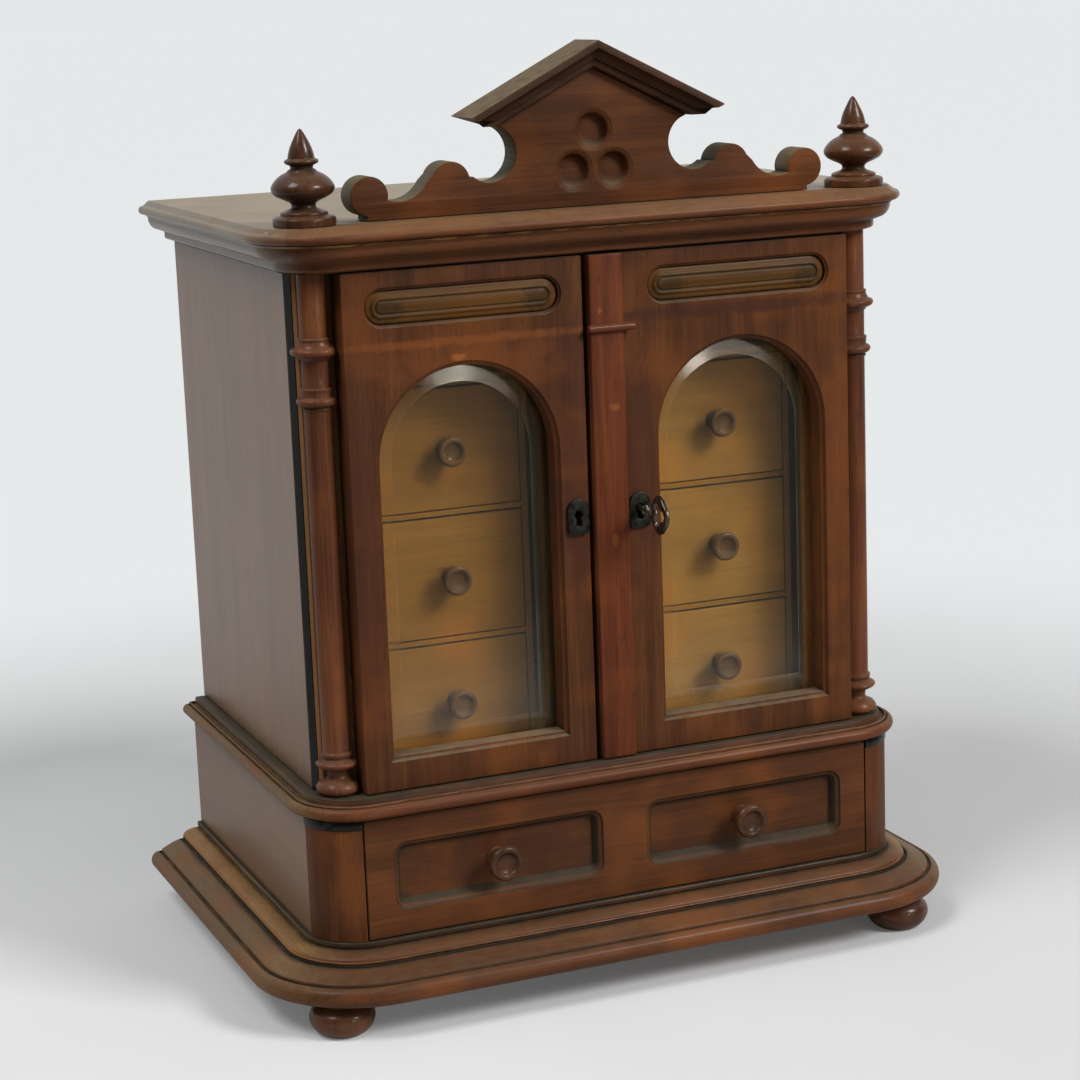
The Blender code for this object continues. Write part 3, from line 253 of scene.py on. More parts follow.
def turned(line: Sequence[Point2], steps: int = 56) -> Shape:
    """A closed body turned round the Z axis.

    Args:
        line: (radius, height) points that start and end on the axis.
        steps: faces round the body.

    Returns:
        The shape, standing at the origin.
    """
    shape = bmesh.new()
    turns = [math.tau * i / steps for i in range(steps)]
    rings = []
    for radius, height in line:
        spots = [(radius * math.cos(a), radius * math.sin(a), height) for a in turns]
        if radius < TINY:
            spots = [(0.0, 0.0, height)]
        rings.append([shape.verts.new(spot) for spot in spots])
    for low, high in zip(rings, rings[1:]):
        for i in range(steps):
            j = (i + 1) % steps
            corners = [low[i % len(low)], low[j % len(low)], high[j % len(high)], high[i % len(high)]]
            corners = list(dict.fromkeys(corners))
            if len(corners) > 2:
                shape.faces.new(corners)
    bmesh.ops.recalc_face_normals(shape, faces=shape.faces)
    return shape


def lofted(rings: Sequence[Sequence[Vector]]) -> Shape:
    """A closed body through a row of loops, with both ends filled.

    Args:
        rings: the loops, all with the same number of points.

    Returns:
        The shape.
    """
    shape = bmesh.new()
    loops = [[shape.verts.new(point) for point in loop] for loop in rings]
    count = len(loops[0])
    for low, high in zip(loops, loops[1:]):
        for i in range(count):
            j = (i + 1) % count
            shape.faces.new((low[i], low[j], high[j], high[i]))
    shape.faces.new(loops[0])
    shape.faces.new(loops[-1])
    bmesh.ops.recalc_face_normals(shape, faces=shape.faces)
    return shape


def slab(low: Vector, high: Vector, ease: float) -> Shape:
    """A block with rounded arrises.

    Args:
        low: its lower corner.
        high: its upper corner.
        ease: radius of the arrises.

    Returns:
        The shape in its place.
    """
    shape = bmesh.new()
    place = Matrix.Translation((low + high) / 2) @ Matrix.Diagonal((*(high - low), 1.0))
    bmesh.ops.create_cube(shape, size=1.0, matrix=place)
    edges = list(shape.edges)
    bmesh.ops.bevel(shape, geom=edges, offset=ease, segments=3, profile=0.5, affect="EDGES")
    return shape


def hung(part: Union[Shape, bpy.types.Curve]) -> bpy.types.Object:
    """Hangs a shape or curve in the scene for a moment, so that Blender can work it.

    Args:
        part: the shape, which is used up, or the curve.

    Returns:
        The object that holds it.
    """
    data = part
    if isinstance(part, Shape):
        data = bpy.data.meshes.new("rough")
        part.to_mesh(data)
        part.free()
    holder = bpy.data.objects.new("rough", data)
    bpy.context.scene.collection.objects.link(holder)
    return holder


def worked(holder: bpy.types.Object) -> Shape:
    """The shape of an object after its modifiers, or of its filled curve.

    Args:
        holder: the object.

    Returns:
        A shape of its own.
    """
    graph = bpy.context.evaluated_depsgraph_get()
    mesh = bpy.data.meshes.new_from_object(holder.evaluated_get(graph))
    shape = bmesh.new()
    shape.from_mesh(mesh)
    bpy.data.meshes.remove(mesh)
    return shape


def sawn(loops: Sequence[Sequence[Point2]], front: float, back: float, ease: float) -> Shape:
    """An upright plate sawn to an outline, with holes and rounded edges.

    Args:
        loops: (x, z) outlines, the outer one first.
        front: depth of its face.
        back: depth of its back.
        ease: radius of the rounded edges.

    Returns:
        The shape in its place.
    """
    curve = bpy.data.curves.new("outline", "CURVE")
    curve.dimensions = "2D"
    curve.fill_mode = "BOTH"
    curve.extrude = (back - front) / 2 - ease
    curve.bevel_depth = ease
    curve.bevel_resolution = 2
    curve.offset = -ease
    for loop in loops:
        spline = curve.splines.new("POLY")
        spline.points.add(len(loop) - 1)
        for point, (x, z) in zip(spline.points, loop):
            point.co = (x, z, 0.0, 1.0)
        spline.use_cyclic_u = True
    holder = hung(curve)
    shape = worked(holder)
    bpy.data.objects.remove(holder)
    bpy.data.curves.remove(curve)
    bmesh.ops.remove_doubles(shape, verts=shape.verts, dist=WELD)
    moved(shape, facing_front(Vector((0.0, (front + back) / 2, 0.0))))
    bmesh.ops.recalc_face_normals(shape, faces=shape.faces)
    return shape


def carved(shape: Shape, cutters: Sequence[Shape]) -> Shape:
    """Takes cutters out of a shape.

    Args:
        shape: the rough shape.
        cutters: what is taken out of it.

    Returns:
        The carved shape.
    """
    holders = [hung(part) for part in (shape, *cutters)]
    for cutter in holders[1:]:
        step = holders[0].modifiers.new("carve", "BOOLEAN")
        step.operation = "DIFFERENCE"
        step.solver = "EXACT"
        step.object = cutter
    result = worked(holders[0])
    for holder in holders:
        mesh = holder.data
        bpy.data.objects.remove(holder)
        bpy.data.meshes.remove(mesh)
    return result


def moved(shape: Shape, place: Matrix) -> Shape:
    """The shape put in its place."""
    bmesh.ops.transform(shape, matrix=place, verts=shape.verts)
    return shape


def facing_front(seat: Vector) -> Matrix:
    """Place of a piece made lying on its back, turned up to face the front."""
    return Matrix.Translation(seat) @ Matrix.Rotation(math.pi / 2, 4, "X")


class Wiring:
    """Adds nodes to a tree and links them."""

    def __init__(self, tree: bpy.types.NodeTree) -> None:
        """Takes the tree that the nodes go into."""
        self.tree = tree

    def node(self, kind: str) -> bpy.types.Node:
        """A new node of one kind."""
        return self.tree.nodes.new(f"ShaderNode{kind}")

    def feed(self, socket: Socket, value: Feed) -> None:
        """Links a socket, or sets it to a plain value.

        Args:
            socket: input of a node.
            value: output of another node, or the value.
        """
        if isinstance(value, bpy.types.NodeSocket):
            self.tree.links.new(value, socket)
        else:
            socket.default_value = value

    def math(self, way: str, *values: Feed) -> Socket:
        """One arithmetic step.

        Args:
            way: name of the operation.
            values: what it works on.

        Returns:
            The outcome.
        """
        node = self.node("Math")
        node.operation = way
        for socket, value in zip(node.inputs, values):
            self.feed(socket, value)
        return node.outputs[0]

    def step(self, value: Socket, low: float, high: float, bottom: float = 0.0, top: float = 1.0) -> Socket:
        """A smooth rise.

        Args:
            value: what it follows.
            low: value at which it starts.
            high: value at which it is complete.
            bottom: its outcome at the start.
            top: its outcome at the end.

        Returns:
            The outcome.
        """
        node = self.node("MapRange")
        node.interpolation_type = "SMOOTHSTEP"
        self.feed(node.inputs["Value"], value)
        for key, number in (("From Min", low), ("From Max", high), ("To Min", bottom), ("To Max", top)):
            node.inputs[key].default_value = number
        return node.outputs["Result"]

    def parts(self, vector: Socket) -> list[Socket]:
        """The three parts of a vector.

        Args:
            vector: the vector.

        Returns:
            Its parts across, deep and upright.
        """
        node = self.node("SeparateXYZ")
        self.feed(node.inputs[0], vector)
        return list(node.outputs)


class NodeBoard(Wiring):
    """Lays out the nodes of one material."""

    def __init__(self, name: str) -> None:
        """Starts a material that holds one Principled shader.

        Args:
            name: name of the finish.
        """
        self.material = bpy.data.materials.new(name)
        self.material.use_nodes = True
        super().__init__(self.material.node_tree)
        self.shader = self.tree.nodes["Principled BSDF"]
        self.output = self.tree.nodes["Material Output"]
        self.place = self.node("TexCoord").outputs["Object"]

    def stretched(self, across: float, along: float, grain: Grain) -> Socket:
        """Coordinates that run fast across the grain and slowly along it.

        Args:
            across: length of one unit across the grain.
            along: length of one unit along it.
            grain: its direction.

        Returns:
            The coordinates.
        """
        node = self.node("Mapping")
        scale = [1 / across] * 3
        scale[grain.value] = 1 / along
        node.inputs["Scale"].default_value = scale
        self.feed(node.inputs["Vector"], self.place)
        return node.outputs["Vector"]

    def noise(self, where: Socket, detail: float = 2.0, rough: float = 0.5, swirl: float = 0.0) -> Socket:
        """Soft noise, one grain of it per unit of the coordinates.

        Args:
            where: the coordinates.
            detail: how many finer layers it has.
            rough: how much they weigh.
            swirl: how far it is distorted.

        Returns:
            The noise.
        """
        node = self.node("TexNoise")
        self.feed(node.inputs["Vector"], where)
        numbers = {"Scale": 1.0, "Detail": detail, "Roughness": rough, "Distortion": swirl}
        for key, number in numbers.items():
            node.inputs[key].default_value = number
        return node.outputs[0]

    def cloud(self, size: float, detail: float = 2.0) -> Socket:
        """Noise that is the same in every direction."""
        return self.noise(self.stretched(size, size, Grain.ACROSS), detail)

    def ramp(self, value: Socket, marks: Sequence[float], colours: Sequence[Colour]) -> Socket:
        """Colour that follows a value.

        Args:
            value: what it follows.
            marks: values at which it reaches the colours.
            colours: the colours.

        Returns:
            The colour.
        """
        node = self.node("ValToRGB")
        stops = node.color_ramp.elements
        while len(stops) < len(marks):
            stops.new(0.5)
        for stop, mark, colour in zip(stops, marks, colours):
            stop.position = mark
            stop.color = (*colour, 1.0)
        self.feed(node.inputs["Fac"], value)
        return node.outputs["Color"]

    def mix(self, share: Feed, first: Feed, second: Feed) -> Socket:
        """Colour between two others.

        Args:
            share: share of the second.
            first: the first colour.
            second: the second colour.

        Returns:
            The colour.
        """
        node = self.node("Mix")
        node.data_type = "RGBA"
        self.feed(node.inputs[0], share)
        for socket, value in ((node.inputs[6], first), (node.inputs[7], second)):
            self.feed(socket, value if isinstance(value, bpy.types.NodeSocket) else (*value, 1.0))
        return node.outputs[2]

    def closeness(self, reach: float, inside: bool, alone: bool = True) -> Socket:
        """How shut in a point is: hollows from outside, arrises from inside; 1 is open.

        Args:
            reach: how far round the point is looked.
            inside: looks into the piece, for its arrises.
            alone: leaves the neighbouring pieces out.

        Returns:
            The openness.
        """
        node = self.node("AmbientOcclusion")
        node.only_local = alone
        node.inside = inside
        node.samples = 6
        node.inputs["Distance"].default_value = reach
        return node.outputs["AO"]

    def arris(self, reach: float) -> Socket:
        """Rises to 1 on the arrises of the piece, looked for within reach."""
        return self.step(self.closeness(reach, True), 0.30, 0.70, 1.0, 0.0)

    def facing(self) -> list[Socket]:
        """Parts of the direction in which the surface looks."""
        return self.parts(self.node("NewGeometry").outputs["Normal"])

    def upward(self, low: float, high: float) -> Socket:
        """Rises from 0 to 1 on faces that look up."""
        return self.step(self.facing()[Grain.UPRIGHT.value], low, high)

    def turned_to(self, way: Grain, low: float, high: float) -> Socket:
        """Rises from 0 to 1 as a face turns to look along one direction, either way."""
        return self.step(self.math("ABSOLUTE", self.facing()[way.value]), low, high)

    def sideways(self, low: float, high: float) -> Socket:
        """Rises from 0 on faces that look to the front or back to 1 on those that look to a side.

        Args:
            low: sideways share of the plan direction at which the rise starts.
            high: share at which it is complete.

        Returns:
            The rise.
        """
        across, deep, _ = self.facing()
        across = self.math("ABSOLUTE", across)
        both = self.math("ADD", self.math("ABSOLUTE", deep), self.math("ADD", across, 0.001))
        return self.step(self.math("DIVIDE", across, both), low, high)

    def bump(self, height: Socket, strength: float, depth: float) -> None:
        """Gives the shader a fine relief.

        Args:
            height: the relief.
            strength: how strongly it shows.
            depth: how deep it is.
        """
        node = self.node("Bump")
        node.inputs["Strength"].default_value = strength
        node.inputs["Distance"].default_value = depth
        self.feed(node.inputs["Height"], height)
        self.feed(self.shader.inputs["Normal"], node.outputs["Normal"])

    def finish(self, colour: Socket, rough: Socket, **numbers: float) -> None:
        """Gives the shader its colour and roughness, and numbers that are the same all over.

        Args:
            colour: the colour.
            rough: the roughness.
            numbers: other inputs by name, with _ for each space.
        """
        self.feed(self.shader.inputs["Base Color"], colour)
        self.feed(self.shader.inputs["Roughness"], rough)
        for key, number in numbers.items():
            self.shader.inputs[key.replace("_", " ")].default_value = number


@dataclass(frozen=True)
class Spot:
    """A soft patch on the front in another tone; most are the wood's own, a few are painted shadow and
    painted reflection.
    """

    middle: Point2
    size: Point2
    tint: Colour
    share: float
    raggedness: float = 0.35
    finest: float = 0.0016

    def lay(self, board: NodeBoard, colour: Socket) -> Socket:
        """Lays the patch into a colour, ragged at its edge.

        Args:
            board: the material that it belongs to.
            colour: colour below it.

        Returns:
            The colour with the patch in it.
        """
        ragged = max(self.finest, self.raggedness * math.sqrt(self.size[0] * self.size[1]))
        far = board.step(board.cloud(ragged, 3.0), 0.2, 0.8, -0.5, 0.5)
        across, _, upright = board.parts(board.place)
        for place, middle, size in zip((across, upright), self.middle, self.size):
            offset = board.math("DIVIDE", board.math("SUBTRACT", place, middle), size)
            far = board.math("ADD", far, board.math("POWER", board.math("ABSOLUTE", offset), 2.0))
        return board.mix(board.step(far, -0.1, 1.3, self.share, 0.0), colour, self.tint)


@dataclass(frozen=True)
class Wood:
    """Polished and aged wood."""

    name: str
    tones: tuple[Colour, ...]
    warm: Colour
    grain: Grain = Grain.UPRIGHT
    figure: float = 0.009
    figure_run: float = 18.0
    fibre: Point2 = (0.0011, 0.055)
    pore: Point2 = (0.0005, 0.009)
    cloud: float = 0.050
    patch: float = 0.011
    rough: float = 0.46
    gloss: float = 0.10
    warmth: float = 0.55
    dust: float = 0.22
    # strength of the darkening in hollows and gaps: grime and painted shade
    grime_and_shade: float = 0.9
    wear: float = 0.35
    wear_reach: float = 0.0016
    coat: float = 0.0
    coat_rough: float = 0.18
    dust_size: float = 0.006
    dust_tint: Colour = paint(106, 98, 78)
    grime_and_shade_tint: Colour = paint(30, 26, 18)
    worn_tint: Colour = paint(146, 92, 52)
    reach: float = 0.0045
    alone: bool = True
    pores: float = 0.45
    # darkening of the sloping faces of recesses: painted shade and grime
    hollow: float = 0.0
    # paler tones for faces that look to a side: painted sheen
    side_sheen_tones: tuple[Colour, ...] = ()
    spots: tuple[Spot, ...] = ()

    MARKS = (0.28, 0.50, 0.72)

    @cache
    def material(self) -> bpy.types.Material:
        """Lays out grain, pores, clouds, grime and painted shade in hollows, gaps and on recess slopes, worn
        arrises and dust.

        Returns:
            The material, made once for each finish.
        """
        board = NodeBoard(self.name)
        run = self.figure * self.figure_run
        figure = board.noise(board.stretched(self.figure, run, self.grain), 3.0, 0.55, 0.7)
        fibre = board.noise(board.stretched(*self.fibre, self.grain), 2.0, 0.6)
        pore = board.step(board.noise(board.stretched(*self.pore, self.grain), 1.0), 0.60, 0.74)
        colour = self.ground(board, figure, fibre)
        colour = board.mix(board.math("MULTIPLY", pore, self.pores), colour, self.grime_and_shade_tint)
        for spot in self.spots:
            colour = spot.lay(board, colour)
        patch = board.cloud(self.patch, 3.0)
        # hollows, creases and, where the finish is not alone, the gaps between pieces are darkened: grime and
        # painted shade
        shut = board.step(board.closeness(self.reach, False, self.alone), 0.50, 0.96, 1.0, 0.0)
        grime_and_shade = board.math("MULTIPLY", shut, board.step(patch, 0.25, 0.6, self.grime_and_shade * 0.55, self.grime_and_shade))
        colour = board.mix(grime_and_shade, colour, self.grime_and_shade_tint)
        # sloping faces of recesses are darkened: painted shade and grime
        if self.hollow:
            shaded_slope = board.math("SUBTRACT", 1.0, board.turned_to(Grain.DEEP, 0.72, 0.97))
            shaded_slope = board.math("MULTIPLY", shaded_slope, board.turned_to(Grain.DEEP, 0.08, 0.25))
            shaded_slope = board.math("MULTIPLY", shaded_slope, board.step(patch, 0.2, 0.6, self.hollow * 0.7, self.hollow))
            colour = board.mix(shaded_slope, colour, self.grime_and_shade_tint)
        rubbed = board.step(patch, 0.38, 0.66, 0.0, self.wear)
        worn = board.math("MULTIPLY", board.arris(self.wear_reach), rubbed)
        colour = board.mix(worn, colour, self.worn_tint)
        lie = board.step(board.cloud(self.dust_size, 3.0), 0.28, 0.62, self.dust * 0.55, self.dust)
        dusty = board.math("MULTIPLY", board.upward(0.35, 0.95), lie)
        colour = board.mix(dusty, colour, self.dust_tint)
        rough = board.step(fibre, 0.3, 0.7, self.rough - 0.05, self.rough + 0.07)
        rough = board.math("ADD", rough, board.math("MULTIPLY", dusty, 0.5))
        rough = board.math("ADD", rough, board.math("MULTIPLY", grime_and_shade, 0.3))
        polish = {"Coat_Weight": self.coat, "Coat_Roughness": self.coat_rough}
        board.finish(colour, rough, Specular_IOR_Level=self.gloss, **polish)
        board.bump(board.math("SUBTRACT", fibre, board.math("MULTIPLY", pore, 0.8)), 0.10, 0.0004)
        return board.material

    def ground(self, board: NodeBoard, figure: Socket, fibre: Socket) -> Socket:
        """Colour of the bare wood, paler on faces that look to a side as painted sheen, with warmer clouds.

        Args:
            board: the material.
            figure: broad bands of the grain.
            fibre: its fine lines.

        Returns:
            The colour.
        """
        tone = board.math("ADD", board.math("MULTIPLY", figure, 0.62), board.math("MULTIPLY", fibre, 0.38))
        colour = board.ramp(tone, self.MARKS, self.tones)
        if self.side_sheen_tones:
            pale = board.ramp(tone, self.MARKS, self.side_sheen_tones)
            colour = board.mix(board.sideways(0.35, 0.9), colour, pale)
        glow = board.step(board.cloud(self.cloud), 0.46, 0.72, 0.0, self.warmth)
        return board.mix(glow, colour, self.warm)


@dataclass(frozen=True)
class Ebony:
    """Black stained and polished wood."""

    name: str = "ebonised_wood"
    tones: tuple[Colour, ...] = shades((9, 9, 8), (20, 21, 18))
    worn_tint: Colour = paint(74, 66, 52)
    dust_tint: Colour = paint(120, 118, 106)
    fibre: Point2 = (0.0012, 0.05)
    wear_reach: float = 0.0014
    wear_size: float = 0.008
    dust_size: float = 0.005
    rough: float = 0.22
    gloss: float = 0.2

    @cache
    def material(self) -> bpy.types.Material:
        """Black with faint grain, rubbed arrises and a little dust.

        Returns:
            The material.
        """
        board = NodeBoard(self.name)
        fibre = board.noise(board.stretched(*self.fibre, Grain.UPRIGHT), 2.0)
        colour = board.ramp(fibre, (0.3, 0.7), self.tones)
        rubbed = board.step(board.cloud(self.wear_size), 0.4, 0.65, 0.0, 0.5)
        worn = board.math("MULTIPLY", board.arris(self.wear_reach), rubbed)
        colour = board.mix(worn, colour, self.worn_tint)
        lie = board.step(board.cloud(self.dust_size), 0.3, 0.6, 0.2, 0.5)
        dusty = board.math("MULTIPLY", board.upward(0.4, 0.95), lie)
        colour = board.mix(dusty, colour, self.dust_tint)
        rough = board.step(fibre, 0.3, 0.7, self.rough - 0.04, self.rough + 0.08)
        rough = board.math("ADD", rough, board.math("MULTIPLY", dusty, 0.5))
        board.finish(colour, rough, Specular_IOR_Level=self.gloss)
        board.bump(fibre, 0.08, 0.0003)
        return board.material


@dataclass(frozen=True)
class Steel:
    """Blackened steel with dull and rusty patches."""

    name: str = "dull_black_steel"
    tones: tuple[Colour, ...] = shades((24, 25, 22), (48, 48, 42), (62, 48, 34))
    bright: Colour = paint(118, 116, 102)
    rough: float = 0.34
    metal: float = 0.85
    patch: float = 0.0035
    pits: float = 0.0007
    wear_reach: float = 0.0009

    @cache
    def material(self) -> bpy.types.Material:
        """Dark metal, lighter on its arrises and brown in patches.

        Returns:
            The material, made once for each finish.
        """
        board = NodeBoard(self.name)
        patch = board.cloud(self.patch, 4.0)
        colour = board.ramp(patch, (0.3, 0.6, 0.8), self.tones)
        colour = board.mix(board.math("MULTIPLY", board.arris(self.wear_reach), 0.5), colour, self.bright)
        rough = board.step(patch, 0.3, 0.75, self.rough - 0.06, self.rough + 0.2)
        board.finish(colour, rough, Metallic=self.metal)
        board.bump(board.cloud(self.pits, 2.0), 0.12, 0.0002)
        return board.material


@dataclass(frozen=True)
class Glass:
    """Old plate glass with a breath of dust on it; on the bevel and its inner line the haze is raised to
    paint sheen and a highlight.
    """

    name: str = "old_plate_glass"
    haze: float = 0.002
    rough: float = 0.012
    tints: tuple[Colour, ...] = shades((240, 236, 222), (232, 226, 208))
    shadow: Colour = (0.86, 0.88, 0.86)
    drift: Point2 = (0.030, 0.060)
    bending: float = 1.5

    @cache
    def material(self) -> bpy.types.Material:
        """Clear glass that lets the lamps through, hazy in drifts.

        Returns:
            The material, made once for each finish.
        """
        board = NodeBoard(self.name)
        drift = board.noise(board.stretched(*self.drift, Grain.UPRIGHT), 4.0, 0.6)
        colour = board.ramp(drift, (0.3, 0.7), self.tints)
        board.finish(colour, board.step(drift, 0.35, 0.75, self.rough, self.rough * 2), IOR=self.bending)
        clear = board.step(drift, 0.35, 0.75, 1.0 - self.haze * 0.5, 1.0 - self.haze * 1.6)
        board.feed(board.shader.inputs["Transmission Weight"], clear)
        through = board.node("BsdfTransparent")
        through.inputs["Color"].default_value = (*self.shadow, 1.0)
        pick = board.node("MixShader")
        board.feed(pick.inputs[0], board.node("LightPath").outputs["Is Shadow Ray"])
        board.feed(pick.inputs[1], board.shader.outputs[0])
        board.feed(pick.inputs[2], through.outputs[0])
        board.feed(board.output.inputs["Surface"], pick.outputs[0])
        return board.material


Finish = Union[Wood, Ebony, Steel, Glass]

WALNUT = Wood("walnut_upright", shades((56, 32, 18), (78, 45, 25), (96, 57, 31)), paint(118, 66, 29))
WALNUT_ACROSS = replace(WALNUT, name="walnut_across", grain=Grain.ACROSS)
WALNUT_TURNED = replace(
    WALNUT,
    name="walnut_turned",
    tones=shades((42, 25, 15), (68, 40, 24), (88, 53, 31)),
    warm=paint(122, 72, 35),
    rough=0.34,
    gloss=0.14,
    coat=0.2,
    coat_rough=0.09,
    wear=0.45,
    wear_reach=0.0022,
    dust=0.14,
    grime_and_shade_tint=paint(40, 34, 24),
)
WALNUT_COLUMN = replace(
    WALNUT_TURNED,
    name="walnut_column",
    tones=shades((64, 38, 25), (95, 56, 37), (115, 70, 47)),
    gloss=0.09,
    coat=0.07,
)
WALNUT_KNOB = replace(
    WALNUT_TURNED,
    name="walnut_knob",
    tones=shades((38, 23, 14), (60, 37, 23), (80, 50, 30)),
    grain=Grain.DEEP,
    dust=0.1,
    wear=0.7,
    coat=0.12,
)
# Paler copy of walnut for the sides and the top: partly painted sheen, beside the coat's own reflection. Its
# darkening reaches the neighbouring pieces and paints shade at the foot of the sides.
WALNUT_SIDE_SHEEN = replace(
    WALNUT,
    name="walnut_side",
    tones=shades((95, 67, 44), (107, 78, 52), (119, 89, 61)),
    warm=paint(121, 80, 50),
    warmth=0.45,
    figure=0.022,
    pores=0.08,
    coat=0.44,
    coat_rough=0.25,
    grime_and_shade=0.8,
    reach=0.012,
    alone=False,
)
# Paler copy of walnut for the front stiles, which stand in the shade of column and strip: painted light.
WALNUT_STILE_LIT = replace(
    WALNUT, name="walnut_stile_lit", tones=shades((102, 71, 44), (126, 89, 56), (140, 103, 68))
)
WALNUT_BACK = replace(WALNUT, name="walnut_back", rough=0.6, warmth=0.2, dust=0.5)
# Its darkening reaches the neighbouring pieces and paints the shade in the gaps between the inner drawers and
# the rack, with some grime.
OCHRE = Wood(
    "ochre_across",
    shades((110, 77, 32), (124, 88, 38), (136, 99, 45)),
    paint(148, 95, 34),
    grain=Grain.ACROSS,
    figure=0.014,
    pores=0.12,
    warmth=0.7,
    rough=0.5,
    wear=0.15,
    reach=0.004,
    alone=False,
    worn_tint=paint(176, 136, 84),
)
OCHRE_PALE = replace(
    OCHRE,
    name="ochre_pale",
    tones=shades((120, 87, 41), (135, 100, 49), (148, 111, 56)),
    warm=paint(155, 106, 44),
)
OCHRE_PANEL = replace(
    OCHRE,
    name="ochre_panel",
    tones=shades((64, 42, 20), (88, 58, 27), (110, 74, 36)),
    warm=paint(104, 66, 28),
    rough=0.36,
    alone=True,
    reach=0.0056,
    wear=0.2,
    dust=0.4,
    grime_and_shade=0.95,
    grime_and_shade_tint=paint(34, 30, 20),
    worn_tint=paint(150, 118, 84),
)
OCHRE_KNOB = replace(
    OCHRE,
    name="ochre_knob",
    tones=shades((58, 40, 24), (80, 57, 36), (98, 71, 46)),
    warm=paint(90, 61, 36),
    grain=Grain.DEEP,
    alone=True,
    rough=0.32,
    coat=0.12,
)
OCHRE_BOX = replace(OCHRE, name="ochre_box", grain=Grain.DEEP, rough=0.62)
EBONY = Ebony()
STEEL = Steel()
STEEL_KEY = Steel(
    "worn_key_steel", shades((52, 46, 38), (96, 88, 76), (110, 80, 58)), paint(190, 176, 152), rough=0.28
)
GLASS = Glass()
# bevel and its inner line: raised haze paints the bevel's sheen and a highlight line, over a little dust
GLASS_BEVEL_SHEEN = Glass("glass_bevel_sheen", 0.034, 0.11, shades((238, 216, 174), (228, 204, 158)))
GLASS_HIGHLIGHT_LINE = Glass("glass_bevel_highlight_line", 0.10, 0.09, shades((226, 208, 172), (216, 196, 158)))


class Bench:
    """Knows the frame, puts finished pieces on it and logs them."""

    def __init__(self, frame: dict) -> None:
        """Notes which body each CAD node belongs to.
        """
        self.nodes = frame["nodes"]
        bodies = frame["record"]["behaviour"]["bodies"]
        self.body_of = {node: body for body, held in bodies.items() for node in held}
        self.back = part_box("base_board")[1].y

    def at(self, x: float, depth: float, z: float) -> Vector:
        """Point at a depth counted forward from the back of the cabinet."""
        return Vector((x, self.back - depth, z))

    def depth(self, y: float) -> float:
        """Depth of a point, counted forward from the back of the cabinet."""
        return self.back - y

    def fit(
        self, node: str, shape: Shape, stock: Stock, *finishes: Finish, angle: float = 38.0
    ) -> None:
        """Puts a finished piece in the place of a CAD node.

        Args:
            node: the CAD node that the piece stands for.
            shape: the piece in its place at rest.
            stock: material slot of the record; not used.
            finishes: finishes in the order of the face indices.
            angle: turn, in degrees, from which an arris is shaded sharp.
        """
        name = f"finished_{node}"
        mesh = bpy.data.meshes.new(name)
        shape.to_mesh(mesh)
        shape.free()
        mesh.polygons.foreach_set("use_smooth", [True] * len(mesh.polygons))
        mesh.set_sharp_from_angle(angle=math.radians(angle))
        for finish in finishes:
            mesh.materials.append(finish.material())
        piece = bpy.data.objects.new(name, mesh)
        bpy.context.scene.collection.objects.link(piece)
        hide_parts(node)
        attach(piece, self.body_of[node])
        LOG.info("fitted %s, %d faces", name, len(mesh.polygons))

    def dress(self, node: str, stock: Stock, finish: Finish) -> None:
        """Gives a CAD node that stays in sight its finish.

        Args:
            node: the CAD node.
            stock: material slot of the record; not used.
            finish: its finish.
        """
        piece = self.nodes[node]
        piece.data.materials.clear()
        piece.data.materials.append(finish.material())
        LOG.info("dressed %s", node)


